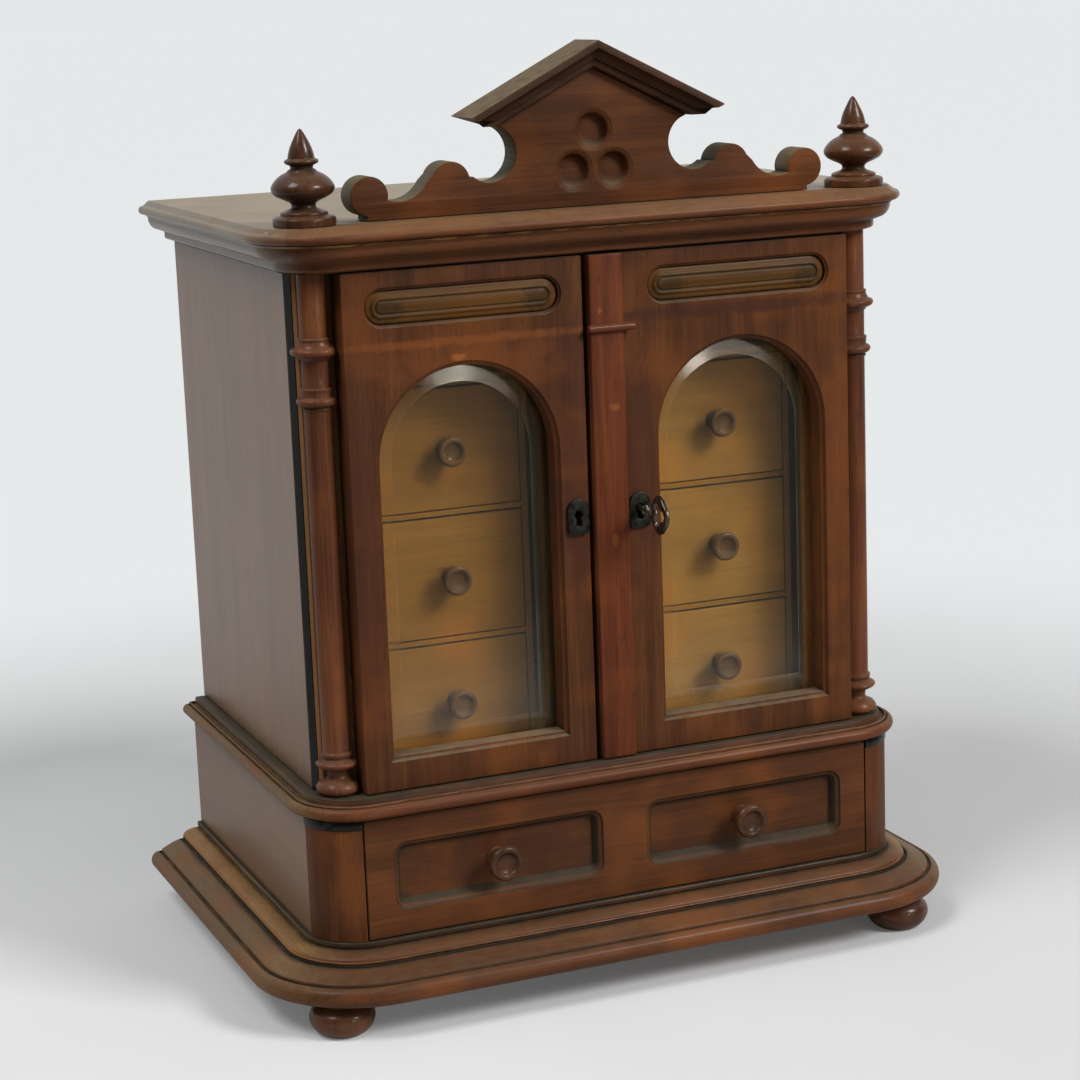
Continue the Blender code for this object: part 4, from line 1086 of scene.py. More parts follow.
@dataclass
class Mouldings:
    """The five moulded boards, each with its profile run round the front and the sides."""

    bench: Bench
    base_reach: float = 0.0315
    waist_reach: float = 0.0060
    top_reach: float = 0.0122
    corner: float = 0.031
    seat: float = 0.0003
    case_in: float = 0.0071
    # dark band where the next piece stands on a board: dirt and painted shade at the joint
    seam_dirt_and_shade_tint: Colour = paint(30, 26, 18)
    seam_length: float = 9.0
    seam_share: float = 0.85
    base_seam: float = 0.0013
    cove_seam: float = 0.0020
    steps: int = 20

    BASE_FOOT = ((-0.0075, 0.0), (-0.0053, 0.0004))
    BASE_STEPS = (
        (-0.0053, -0.0074), (-0.0064, -0.0074), (-0.0068, -0.0053), (-0.0079, -0.0048),
        (-0.0097, -0.0039), (-0.0115, -0.0031), (-0.0135, -0.0022), (-0.0155, -0.0015),
        (-0.0183, -0.0007), (-0.0187, -0.0017), (-0.0199, -0.0017), (-0.0203, 0.0),
    )
    COVE = ((0.0022, 0.0050), (0.0108, 0.0013))
    COVE_STEP = ((0.0016, 0.0047), (0.0014, 0.0056), (0.0018, 0.0060))
    COVE_HEAD = ((0.0018, -0.0006), (0.0012, 0.0))
    WAIST_FOOT = ((-0.0005, 0.0), (0.0024, 0.0006))
    WAIST_STEPS = (
        (0.0025, -0.0042), (0.0021, -0.0042), (0.0020, -0.0026), (0.0011, -0.0025), (0.0007, -0.0038),
        (-0.0014, -0.0038), (-0.0018, -0.0030), (-0.0020, -0.0005), (-0.0028, 0.0),
    )
    CORNICE_FOOT = (
        (0.0, 0.0), (0.0044, 0.0012), (0.0050, 0.0022), (0.0050, 0.0052), (0.0058, 0.0058),
        (0.0078, 0.0062),
    )
    CORNICE_HEAD = ((0.0150, -0.0005), (0.0152, 0.0))
    TOP_HEAD = ((-0.0032, -0.0024), (-0.0044, -0.0014), (-0.0056, -0.0004), (-0.0062, 0.0))

    def __post_init__(self) -> None:
        """Takes the plan of the plinth from the base board."""
        low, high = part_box("base_board")
        self.half = high.x - self.base_reach
        self.deep = high.y - low.y - self.base_reach
        self.front = high.y - self.deep
        self.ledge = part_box("pediment_board")[0].y

    def outline(self, reach: float) -> list[Point2]:
        """Plan of a board, square at the back.

        Args:
            reach: how far it stands out from the plinth.

        Returns:
            The (x, depth) loop.
        """
        centre = (self.half - self.corner, self.deep - self.corner)
        loop = [(self.half + reach, 0.0)] + ring(centre, self.corner + reach, 0, 90, self.steps)
        return loop + mirrored(loop)

    def run(self, node: str, profile: Sequence[Point2], *finishes: Finish) -> None:
        """Runs a profile round the board of a CAD node.

        Args:
            node: the CAD node of the board.
            profile: (reach, height) points from its underside up.
            finishes: finish of the front, of the sides and, where it shows, of the top.
        """
        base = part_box(node)[0].z - profile[0][1]
        rings = []
        for reach, height in eased(profile, MOULDED_EASE):
            rings.append([self.bench.at(x, deep, base + height) for x, deep in self.outline(reach)])
        shape = lofted(rings)
        geometry = [*shape.verts, *shape.edges, *shape.faces]
        line, way = (0.0, self.ledge, 0.0), (0.0, 1.0, 0.0)
        bmesh.ops.bisect_plane(shape, geom=geometry, plane_co=line, plane_no=way)
        for face in shape.faces:
            middle = face.calc_center_median()
            if len(face.verts) > 4:
                face.material_index = len(finishes) - 1 if middle.y > self.ledge else 0
            else:
                face.material_index = int(self.half - abs(middle.x) < middle.y - self.front)
        self.bench.fit(node, shape, Stock.WALNUT, *finishes)

    def build(self) -> None:
        """Makes the boards of the foot and of the head."""
        self.foot_boards()
        self.head_boards()

    def foot_boards(self) -> None:
        """Makes base, plinth and waist boards, dark where the next piece stands on them: dirt and painted
        shade.
        """
        front = replace(
            WALNUT_ACROSS,
            name="walnut_base_front",
            dust=0.16,
            coat=0.06,
            wear=0.6,
            grime_and_shade=0.97,
            reach=0.0080,
            alone=False,
            grime_and_shade_tint=paint(32, 29, 20),
            side_sheen_tones=shades((76, 56, 34), (100, 75, 46), (118, 90, 58)),
            spots=self.seam("base_board", self.base_seam),
        )
        r, top = self.base_reach, self.height("base_board")
        profile = shifted(self.BASE_FOOT, r, 0.0) + nose(r - 0.0047, r, 0.0006, top - 0.0063)
        profile += shifted(self.BASE_STEPS, r, top)
        self.run("base_board", profile, front, replace(front, name="walnut_base_side", grain=Grain.DEEP))

        cove_front = replace(
            front,
            name="walnut_cove_front",
            side_sheen_tones=shades((110, 78, 40), (136, 98, 53), (152, 114, 68)),
            spots=self.seam("plinth_board", self.cove_seam),
        )
        top = self.height("plinth_board") + self.seat
        profile = [(0.0112, self.seat), (0.0114, 0.0012)] + cove(*self.COVE)[::-1]
        profile += [*self.COVE_STEP, *shifted(self.COVE_HEAD, 0.0, top)]
        cove_side = replace(cove_front, name="walnut_cove_side", grain=Grain.DEEP)
        self.run("plinth_board", profile, cove_front, cove_side)

        waist_front = replace(
            front,
            name="walnut_waist_front",
            tones=shades((64, 36, 21), (90, 50, 29), (110, 64, 36)),
            spots=self.seam("waist_board", self.base_seam),
        )
        top = self.height("waist_board")
        profile = [*self.WAIST_FOOT, *nose(0.0030, self.waist_reach, 0.0012, top - 0.0036)]
        profile += shifted(self.WAIST_STEPS, 0.0, top)
        waist_side = replace(waist_front, name="walnut_waist_side", grain=Grain.DEEP)
        self.run("waist_board", profile, waist_front, waist_side)

    def head_boards(self) -> None:
        """Makes cornice and top boards, worn at their edges and dusty on top."""
        edge = replace(
            WALNUT_ACROSS,
            name="walnut_cornice_front",
            tones=shades((68, 40, 24), (96, 57, 34), (114, 70, 42)),
            wear=0.8,
            wear_reach=0.0028,
            worn_tint=paint(158, 114, 66),
            coat=0.06,
            reach=0.0064,
            alone=False,
            side_sheen_tones=shades((92, 78, 58), (112, 96, 74), (128, 112, 88)),
        )
        grey = replace(edge, name="walnut_cornice_side", grain=Grain.DEEP, coat=0.4)
        s, top = -self.case_in, self.height("cornice_board")
        profile = shifted(self.CORNICE_FOOT, s, 0.0) + cove((s + 0.0084, 0.0068), (s + 0.0142, top - 0.0009))
        profile += shifted(self.CORNICE_HEAD, s, top)
        self.run("cornice_board", profile, edge, grey)

        r, top = self.top_reach, self.height("top_board") + self.seat
        profile = [(r - 0.0046, self.seat), (r - 0.0030, 0.0005)] + nose(r - 0.0024, r, 0.0008, top - 0.0028)
        profile += shifted(self.TOP_HEAD, r, top)
        # upward-facing dust on the nose of the top board also paints a highlight along its upper half
        ledge = replace(edge, name="walnut_top_front_dust_and_highlight", dust=0.5, dust_tint=paint(110, 90, 64))
        flat = replace(
            WALNUT_SIDE_SHEEN,
            name="walnut_top",
            grain=Grain.ACROSS,
            dust=0.78,
            dust_size=0.045,
            dust_tint=paint(142, 130, 107),
            coat=0.6,
            coat_rough=0.36,
        )
        self.run("top_board", profile, ledge, grey, flat)

    def seam(self, node: str, width: float) -> tuple[Spot, ...]:
        """Dark band along the upper edge of a board, where the next piece stands on it: dirt and painted
        shade.
        """
        middle = (0.0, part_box(node)[1].z)
        return (Spot(middle, (self.seam_length, width), self.seam_dirt_and_shade_tint, self.seam_share),)

    @staticmethod
    def height(node: str) -> float:
        """Height of a CAD node."""
        low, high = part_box(node)
        return high.z - low.z


@dataclass
class Turnery:
    """Feet, knobs, columns and finials from the lathe."""

    bench: Bench
    shaft: float = 0.0074
    column_ring: float = 0.0124
    lower_ring: float = 0.863
    foot_ring: float = 0.911
    foot_base: float = 0.944
    ring_levels: Point2 = (0.0395, 0.0649)
    foot_level: float = 0.0170
    case_gap: float = 0.0003

    FOOT = (
        Turn(0.0, 1.0, True), Turn(0.64, 1.0, True), Turn(0.66, 0.90, True), Turn(0.78, 0.84),
        Turn(0.94, 0.70), Turn(1.0, 0.50), Turn(0.95, 0.29), Turn(0.80, 0.10), Turn(0.64, 0.0, True),
        Turn(0.0, 0.0, True),
    )
    KNOB = (
        Turn(0.0, 0.82), Turn(0.26, 0.825), Turn(0.48, 0.865), Turn(0.60, 0.93), Turn(0.68, 0.985),
        Turn(0.78, 1.0), Turn(0.90, 0.98), Turn(0.98, 0.91), Turn(1.0, 0.84), Turn(0.95, 0.72),
        Turn(0.72, 0.55), Turn(0.46, 0.40), Turn(0.44, 0.24), Turn(0.60, 0.0, True), Turn(0.0, 0.0, True),
    )
    FINIAL = (
        Turn(0.0, 1.0), Turn(0.07, 0.982), Turn(0.23, 0.885), Turn(0.35, 0.796), Turn(0.41, 0.722),
        Turn(0.42, 0.694, True), Turn(0.52, 0.676), Turn(0.54, 0.658), Turn(0.50, 0.640),
        Turn(0.37, 0.620, True), Turn(0.35, 0.590, True), Turn(0.44, 0.572), Turn(0.48, 0.556, True),
        Turn(0.70, 0.518), Turn(0.90, 0.456), Turn(1.0, 0.388), Turn(0.91, 0.324), Turn(0.70, 0.282),
        Turn(0.56, 0.262, True), Turn(0.42, 0.236), Turn(0.38, 0.208), Turn(0.42, 0.180),
        Turn(0.64, 0.152, True), Turn(0.74, 0.136), Turn(0.75, 0.106, True), Turn(0.92, 0.094, True),
        Turn(0.99, 0.074), Turn(0.99, 0.0, True), Turn(0.0, 0.0, True),
    )

    def build(self) -> None:
        """Turns every round piece that stands on the cabinet."""
        for row in ("front", "back"):
            for hand in Hand:
                self.standing(f"foot_{row}_{hand.value}", self.FOOT)
        for hand in Hand:
            self.standing(f"finial_{hand.value}", self.FINIAL)
            self.knob(f"plinth_drawer_knob_{hand.value}", Stock.WALNUT, WALNUT_KNOB)
            for tier in TIERS:
                self.knob(f"inner_knob_{hand.value}_{tier}", Stock.OCHRE, OCHRE_KNOB)
            self.column(hand)

    def standing(self, node: str, shares: Sequence[Turn]) -> None:
        """Turns an upright piece that fills the box of its CAD node.

        Args:
            node: the CAD node.
            shares: its profile, in shares of radius and height.
        """
        low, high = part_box(node)
        middle = (low + high) / 2
        line = flowing(scaled(shares, (high.x - low.x) / 2, high.z - low.z))
        shape = moved(turned(line), Matrix.Translation((middle.x, middle.y, low.z)))
        self.bench.fit(node, shape, Stock.WALNUT, WALNUT_TURNED)

    def knob(self, node: str, stock: Stock, finish: Finish) -> None:
        """Turns a dished knob that stands out towards the front.

        Args:
            node: the CAD node.
            stock: material slot of the record.
            finish: its finish.
        """
        low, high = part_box(node)
        middle = (low + high) / 2
        line = flowing(scaled(self.KNOB, (high.x - low.x) / 2, high.y - low.y))
        shape = moved(turned(line, 48), facing_front(Vector((middle.x, high.y, middle.z))))
        self.bench.fit(node, shape, stock, finish)

    def column(self, hand: Hand) -> None:
        """Turns an engaged column and planes it flat against the stile and beside the door.

        Args:
            hand: its side.
        """
        node = f"column_{hand.value}"
        low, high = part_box(node)
        inner, outer = sorted((abs(low.x), abs(high.x)))
        line = flowing(self.column_profile(high.z - low.z + self.case_gap))
        axis = (hand.sign * (outer - self.column_ring), low.y + self.column_ring, low.z - self.case_gap)
        shape = moved(turned(line, 64), Matrix.Translation(axis))
        self.plane(shape, Vector((0.0, high.y, 0.0)), Vector((0.0, 1.0, 0.0)))
        self.plane(shape, Vector((hand.sign * inner, 0.0, 0.0)), Vector((-hand.sign, 0.0, 0.0)))
        self.bench.fit(node, shape, Stock.WALNUT, WALNUT_COLUMN)

    @staticmethod
    def plane(shape: Shape, place: Vector, way: Vector) -> None:
        """Planes off what stands beyond a flat.

        Args:
            shape: the turned piece.
            place: a point on the flat.
            way: direction in which the waste lies.
        """
        geometry = [*shape.verts, *shape.edges, *shape.faces]
        flat = bmesh.ops.bisect_plane(shape, geom=geometry, plane_co=place, plane_no=way, clear_outer=True)
        rim = [piece for piece in flat["geom_cut"] if isinstance(piece, bmesh.types.BMEdge)]
        bmesh.ops.holes_fill(shape, edges=rim, sides=0)
        bmesh.ops.recalc_face_normals(shape, faces=shape.faces)

    def column_profile(self, height: float) -> list[Turn]:
        """Column from its head down: shaft, two rings, shaft, foot ring and base.

        Args:
            height: level of its head above the waist board.

        Returns:
            The profile.
        """
        s = self.shaft
        points = [Turn(0.0, height, True), Turn(s, height, True)]
        for below, share in zip(self.ring_levels, (1.0, self.lower_ring)):
            z, r = height + self.case_gap - below, share * self.column_ring
            points += [Turn(s, z + 0.0070, True), Turn(s + 0.0012, z + 0.0064)]
            points += [Turn(s + 0.0010, z + 0.0048, True), Turn(0.78 * r, z + 0.0022, True)]
            points += [Turn(0.95 * r, z + 0.0012), Turn(r, z)]
            points += [Turn(0.94 * r, z - 0.0017), Turn(0.72 * r, z - 0.0030, True)]
            points += [Turn(s + 0.0008, z - 0.0040), Turn(s, z - 0.0048, True)]
        z, r = self.foot_level, self.foot_ring * self.column_ring
        points += [Turn(s, z + 0.0062, True), Turn(s + 0.0012, z + 0.0050), Turn(0.70 * r, z + 0.0024, True)]
        points += [Turn(r, z), Turn(0.93 * r, z - 0.0018), Turn(0.55 * r, z - 0.0040, True)]
        points += [Turn(0.50 * r, z - 0.0068), Turn(0.58 * r, z - 0.0086), Turn(0.90 * r, z - 0.0104, True)]
        base = self.foot_base * self.column_ring
        points += [Turn(base, z - 0.0128), Turn(0.98 * base, z - 0.0150)]
        return points + [Turn(0.80 * base, self.case_gap, True), Turn(0.0, self.case_gap, True)]


@dataclass
class Plinth:
    """Plinth boards, corner posts with their collars, and the long drawer."""

    bench: Bench
    post_radius: float = 0.028
    post_ease: float = 0.0003
    post_lean: float = 1.0
    post_steps: int = 24
    collar_proud: float = 0.0006
    front_ease: float = 0.0007
    panel_height: float = 0.0375
    panel_end: float = 0.01555
    panel_middle: float = 0.01275
    panel_corner: float = 0.0075
    panel_shadow: Point2 = (0.058, 0.016)
    steps: int = 8

    SINKING = (
        (0.0, -0.002), (0.0, -0.0001), (0.0001, 0.0002), (0.0008, 0.0010), (0.0012, 0.0012),
        (0.0020, 0.0015), (0.0026, 0.0020), (0.0032, 0.0027), (0.0036, 0.0034), (0.0042, 0.0046),
        (0.0048, 0.0055),
    )

    def build(self) -> None:
        """Makes posts, collars and drawer front, and dresses the plain boards."""
        side = replace(WALNUT_SIDE_SHEEN, name="walnut_plinth_side", grain=Grain.DEEP)
        back = replace(WALNUT_BACK, name="walnut_back_across", grain=Grain.ACROSS)
        for hand in Hand:
            self.bench.dress(f"plinth_side_{hand.value}", Stock.WALNUT, side)
            self.post(f"corner_post_{hand.value}", hand, 0.0, Stock.WALNUT, WALNUT)
            self.post(f"post_collar_{hand.value}", hand, self.collar_proud, Stock.EBONY, EBONY)
        self.bench.dress("plinth_back", Stock.WALNUT, back)
        self.bench.dress("plinth_drawer_box", Stock.OCHRE, OCHRE_BOX)
        self.drawer_front()

    def post(self, node: str, hand: Hand, proud: float, stock: Stock, finish: Finish) -> None:
        """A quarter-round post or collar.

        Args:
            node: the CAD node that it stands for.
            hand: its side.
            proud: how far it stands out beyond the post.
            stock: material slot of the record.
            finish: its finish.
        """
        low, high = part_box(node)
        inner, wide = sorted((abs(low.x), abs(high.x)))
        deep, back = self.bench.depth(low.y), self.bench.depth(high.y)
        radius = self.post_radius + proud
        lean = math.degrees(math.asin((self.post_radius - (high.x - low.x) + proud) / radius))
        lean = max(lean, self.post_lean)
        shift = radius * math.cos(math.radians(lean))
        plan = ring((wide - shift, deep - shift), radius, lean, 90 - lean, self.post_steps)
        plan.append((inner, back))
        middle = Vector((sum(x for x, _ in plan), sum(d for _, d in plan))) / len(plan)
        ease = self.post_ease
        rings = []
        for inset, level in ((ease, low.z), (0.0, low.z + ease), (0.0, high.z - ease), (ease, high.z)):
            loop = []
            for x, d in plan:
                inward = (middle - Vector((x, d))).normalized() * inset
                loop.append(self.bench.at(hand.sign * (x + inward.x), d + inward.y, level))
            rings.append(loop)
        self.bench.fit(node, lofted(rings), stock, finish)

    def panel_loop(self, centre: Point2, length: float, inset: float) -> list[Point2]:
        """Outline of a sunk panel.

        Args:
            centre: its middle.
            length: its length.
            inset: how far the outline is drawn in.

        Returns:
            The (x, z) loop.
        """
        half_x = length / 2 - self.panel_corner
        half_z = self.panel_height / 2 - self.panel_corner
        loop: list[Point2] = []
        for turn, (sx, sz) in enumerate(((1, 1), (-1, 1), (-1, -1), (1, -1))):
            corner = (centre[0] + sx * half_x, centre[1] + sz * half_z)
            loop += ring(corner, self.panel_corner - inset, 90 * turn, 90 * turn + 90, self.steps)
        return loop

    def drawer_front(self) -> None:
        """The long drawer front with its two sunk panels."""
        low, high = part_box("plinth_drawer_front")
        length = high.x - self.panel_end - self.panel_middle
        level = (low.z + high.z) / 2
        cutters = []
        for hand in Hand:
            centre = (hand.sign * (self.panel_middle + length / 2), level)
            rings = []
            for inset, sink in self.SINKING:
                loop = self.panel_loop(centre, length, inset)
                rings.append([Vector((x, low.y + sink, z)) for x, z in loop])
            cutters.append(lofted(rings))
        shape = carved(slab(low, high, self.front_ease), cutters)
        finish = replace(
            WALNUT_ACROSS,
            name="walnut_drawer_front",
            figure=0.013,
            reach=0.009,
            grime_and_shade_tint=paint(46, 41, 32),
            hollow=0.85,
            dust=0.5,
            dust_tint=paint(74, 67, 54),
            # painted shadow over the left sunk panel
            spots=(Spot((low.x / 2, level), self.panel_shadow, paint(56, 34, 24), 0.6),),
        )
        self.bench.fit("plinth_drawer_front", shape, Stock.WALNUT, finish, angle=SHARP_CARVING)


@dataclass
class Carcase:
    """Upper case: sides, back, stiles, strips, mullion, rack and inner drawers."""

    bench: Bench
    # the darkening reaches 2 cm into the neighbouring pieces and paints shade inside the case onto the
    # mullion
    mullion: Wood = replace(WALNUT, name="walnut_mullion", alone=False, reach=0.02)

    def build(self) -> None:
        """Dresses the plain boards of the case."""
        for hand, wood in ((Hand.LEFT, OCHRE), (Hand.RIGHT, OCHRE_PALE)):
            self.bench.dress(f"case_side_{hand.value}", Stock.WALNUT, WALNUT_SIDE_SHEEN)
            self.bench.dress(f"ebonised_strip_{hand.value}", Stock.EBONY, EBONY)
            self.bench.dress(f"front_stile_{hand.value}", Stock.WALNUT, WALNUT_STILE_LIT)
            for tier in TIERS:
                self.bench.dress(f"inner_drawer_{hand.value}_{tier}", Stock.OCHRE, wood)
        self.bench.dress("case_back", Stock.WALNUT, WALNUT_BACK)
        self.bench.dress("mullion", Stock.WALNUT, self.mullion)
        self.bench.dress("drawer_rack", Stock.OCHRE, OCHRE_BOX)


def lock_level() -> float:
    """Level of the key, in the middle of the bolt."""
    low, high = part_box("lock_bolt")
    return (low.z + high.z) / 2


@dataclass
class Door:
    """One door: frame, glass, long rounded panel, escutcheon and, on the right, strip and lock."""

    bench: Bench
    hand: Hand
    gap: float = 0.0006
    frame_ease: float = 0.0008
    stile_outer: float = 0.0168
    stile_meeting: float = 0.0204
    strip_half: float = 0.0097
    strip_ease: float = 0.0011
    astragal_ease: float = 0.0006
    sill: float = 0.0185
    crown_below_top: float = 0.05195
    reveal: float = 0.0022
    rebate: float = 0.004
    seat: float = 0.0003
    glass_edge: float = 0.0012
    glass_bevel: float = 0.0097
    glass_line: Point2 = (0.0005, 0.00007)
    glass_angle: float = 5.0
    panel_outer: float = 0.0113
    panel_meeting: float = 0.0144
    panel_height: float = 0.0205
    panel_below_top: float = 0.0193
    panel_depth: float = 0.0042
    panel_lip: float = 0.0012
    panel_ease: float = 0.00012
    panel_steps: int = 24
    panel_dirt: Point2 = (0.011, 0.008)
    panel_dirt_level: float = 0.4
    keyhole: float = 0.0023
    keyhole_foot: float = 0.0062
    keyhole_share: float = 0.7
    bore_end: float = 0.007
    bore_length: float = 0.009
    bore_slot: float = 0.0060
    bore_share: float = 0.66
    bore_gap: float = 0.0004
    bore_ease: float = 0.0002
    plate_corner: float = 0.45
    plate_ease: float = 0.0004
    mortise: float = 0.006
    mortise_play: float = 0.0009
    pocket_ease: float = 0.0001
    waste: float = 0.002
    arch_steps: int = 56

    ORANGE = paint(134, 76, 36)
    PURPLE = paint(62, 35, 27)
    SPOTS = {
        Hand.LEFT: (
            Spot((-0.078, 0.3420), (0.070, 0.016), ORANGE, 0.3),
            # thin pale band across the left door: painted reflection
            Spot((-0.078, 0.3550), (0.090, 0.0028), ORANGE, 0.5),
            Spot((-0.082, 0.3465), (0.005, 0.0020), paint(164, 96, 44), 0.6),
            Spot((-0.022, 0.2900), (0.016, 0.080), PURPLE, 0.6),
            Spot((-0.137, 0.2500), (0.014, 0.100), paint(66, 37, 30), 0.45),
        ),
        Hand.RIGHT: (
            Spot((0.100, 0.3700), (0.060, 0.020), ORANGE, 0.2),
            Spot((0.078, 0.3595), (0.090, 0.0045), PURPLE, 0.7),
            # dark patch on the right door beside the strip: painted shadow of the strip
            Spot((0.018, 0.2800), (0.014, 0.080), PURPLE, 0.5),
            Spot((0.136, 0.2500), (0.014, 0.100), ORANGE, 0.25),
        ),
    }
    STRIP_SPOTS = (
        Spot((0.0030, 0.3130), (0.0034, 0.0024), paint(150, 88, 42), 0.45),
        Spot((0.0010, 0.2420), (0.0022, 0.0040), paint(138, 80, 40), 0.5),
        Spot((-0.0040, 0.3640), (0.0014, 0.0014), paint(140, 88, 50), 0.6),
    )
    PANEL = (
        (0.0, 0.0), (0.0, -0.0006), (0.0008, -0.0014), (0.0016, -0.0017), (0.0026, -0.0018),
        (0.0031, -0.0022), (0.0035, -0.0027), (0.0040, -0.0030), (0.0046, -0.0030), (0.0051, -0.0023),
        (0.0057, -0.0023), (0.0060, -0.0028), (0.0064, -0.0030),
    )

    def __post_init__(self) -> None:
        """Takes the levels and widths of the opening from the frame."""
        self.side = self.hand.value
        self.low, self.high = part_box(f"{self.side}_door_frame")
        case_low, case_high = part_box("case_side_left")
        self.case_z = case_low.z - self.seat
        self.cornice_z = case_high.z + self.seat
        self.face = self.low.y
        self.behind = self.high.y
        self.door_outer = max(abs(self.low.x), abs(self.high.x))
        inner = self.strip_half + self.stile_meeting
        outer = self.door_outer - self.stile_outer
        self.arch_centre = self.hand.sign * (inner + outer) / 2
        self.arch_half = (outer - inner) / 2
        self.spring = self.cornice_z - self.crown_below_top - self.arch_half

    def build(self) -> None:
        """Makes everything that swings with this door."""
        self.frame_piece()
        self.glass_piece()
        self.panel_piece()
        self.escutcheon()
        if self.hand is Hand.RIGHT:
            self.meeting_pieces()

    def arch(self, grow: float, depth: float) -> list[Vector]:
        """Outline of the opening.

        Args:
            grow: how much larger than the opening it is.
            depth: how far behind the face it lies.

        Returns:
            The loop.
        """
        half = self.arch_half + grow
        low = self.case_z + self.sill - grow
        loop = [(self.arch_centre - half, low), (self.arch_centre + half, low)]
        loop += ring((self.arch_centre, self.spring), half, 0, 180, self.arch_steps)
        return [Vector((x, self.face + depth, z)) for x, z in loop]

    def stadium(self, inset: float, depth: float) -> list[Vector]:
        """Outline of the long panel.

        Args:
            inset: how far it is drawn in.
            depth: how far behind the face it lies.

        Returns:
            The loop.
        """
        inner = self.strip_half + self.panel_meeting
        outer = self.door_outer - self.panel_outer
        middle = self.hand.sign * (inner + outer) / 2
        level = self.cornice_z - self.panel_below_top
        radius = self.panel_height / 2
        half = (outer - inner) / 2 - radius
        loop = ring((middle + half, level), radius - inset, -90, 90, self.panel_steps)
        loop += ring((middle - half, level), radius - inset, 90, 270, self.panel_steps)
        return [Vector((x, self.face + depth, z)) for x, z in loop]

    def frame_piece(self) -> None:
        """Framed door with its stepped arch, the sinking for the panel and the room for the lock."""
        thick = self.behind - self.face
        glass_low, glass_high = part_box(f"{self.side}_door_glass")
        shoulder = thick - (glass_high.y - glass_low.y) - 2 * self.seat
        v, lip = self.reveal, self.panel_lip
        opening = [(self.rebate, thick + self.waste), (self.rebate, shoulder), (0.0, shoulder)]
        opening += [(0.0, v + 0.0004), (0.0002, v), (0.30 * v, 0.92 * v), (0.6 * v, 0.8 * v)]
        opening += [(0.85 * v, 0.55 * v), (v, 0.2 * v), (v + 0.0001, 0.0002), (v + 0.0003, -0.0001)]
        opening += [(v + 0.0003, -self.waste)]
        sinking = [(-0.0002, -self.waste), (-0.0002, -0.0001), (0.0001, 0.0003)]
        sinking += [(0.5 * lip, 0.8 * lip), (lip, lip), (lip, self.panel_depth)]
        cutters = [lofted([self.arch(*point) for point in opening])]
        cutters.append(lofted([self.stadium(*point) for point in sinking]))
        cutters += [*self.keyhole_cutters(), self.lock_cutter()]
        foot = Vector((self.low.x, self.face, self.case_z + self.gap))
        head = Vector((self.high.x, self.behind, self.cornice_z - self.gap))
        shape = carved(slab(foot, head, self.frame_ease), cutters)
        wood = replace(WALNUT, name=f"walnut_{self.side}_door", spots=self.SPOTS[self.hand], dust=0.6)
        self.bench.fit(f"{self.side}_door_frame", shape, Stock.WALNUT, wood, angle=SHARP_CARVING)

    def keyhole_cutters(self) -> list[Shape]:
        """Bore and slot behind the escutcheon.

        Returns:
            Their cutters.
        """
        low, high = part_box(f"{self.side}_escutcheon")
        end = Vector(((low.x + high.x) / 2, self.face + self.bore_end, lock_level()))
        r, length = self.keyhole, self.bore_length
        bore = turned([(0.0, 0.0), (r, 0.0), (r, length), (0.0, length)], 24)
        half = r * self.bore_share
        foot = end + Vector((-half, -length, -self.bore_slot))
        slot = slab(foot, end + Vector((half, -self.bore_gap, 0.0)), self.bore_ease)
        return [moved(bore, facing_front(end)), slot]

    def lock_cutter(self) -> Shape:
        """Pocket for the lock in the right door, mortise for its bolt in the edge of the left one.

        Returns:
            The cutter.
        """
        right = self.hand is Hand.RIGHT
        low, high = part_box("lock_case" if right else "lock_bolt")
        room = Vector((self.seat if right else self.mortise_play,) * 3)
        low, high = low - room, high + room
        if right:
            low.x, high.y = self.low.x - self.waste, self.behind + self.waste
        else:
            low.x, high.x = self.high.x - self.mortise, self.high.x + self.waste
        return slab(low, high, self.pocket_ease)

    def glass_piece(self) -> None:
        """Arched pane with a broad bevel."""
        node = f"{self.side}_door_glass"
        low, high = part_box(node)
        grow = self.rebate - self.seat
        back, front = high.y - self.face, low.y - self.face
        width, depth = self.glass_line
        rings = [self.arch(grow, back), self.arch(grow, back - self.glass_edge)]
        rings += [self.arch(-self.glass_bevel + width, front + depth), self.arch(-self.glass_bevel, front)]
        shape = lofted(rings)
        for index, face in enumerate(shape.faces):
            face.material_index = index // len(rings[0]) if len(face.verts) == 4 else 0
        finishes = (GLASS, GLASS_BEVEL_SHEEN, GLASS_HIGHLIGHT_LINE)
        self.bench.fit(node, shape, Stock.GLASS, *finishes, angle=self.glass_angle)

    def panel_piece(self) -> None:
        """Long rounded panel: a hollow round a raised bar, dirty at its ends."""
        node = f"{self.side}_door_panel"
        low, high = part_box(node)
        profile = shifted(self.PANEL, self.panel_lip + self.seat, self.panel_depth - self.seat)
        rings = [self.stadium(inset, depth) for inset, depth in eased(profile, self.panel_ease)]
        level = low.z + self.panel_dirt_level * (high.z - low.z)
        ends = (low.x + self.panel_dirt[0], high.x - self.panel_dirt[0])
        dirt = tuple(Spot((x, level), self.panel_dirt, paint(44, 38, 27), 0.6) for x in ends)
        finish = replace(OCHRE_PANEL, name=f"ochre_panel_{self.side}", spots=dirt)
        self.bench.fit(node, lofted(rings), Stock.OCHRE, finish)

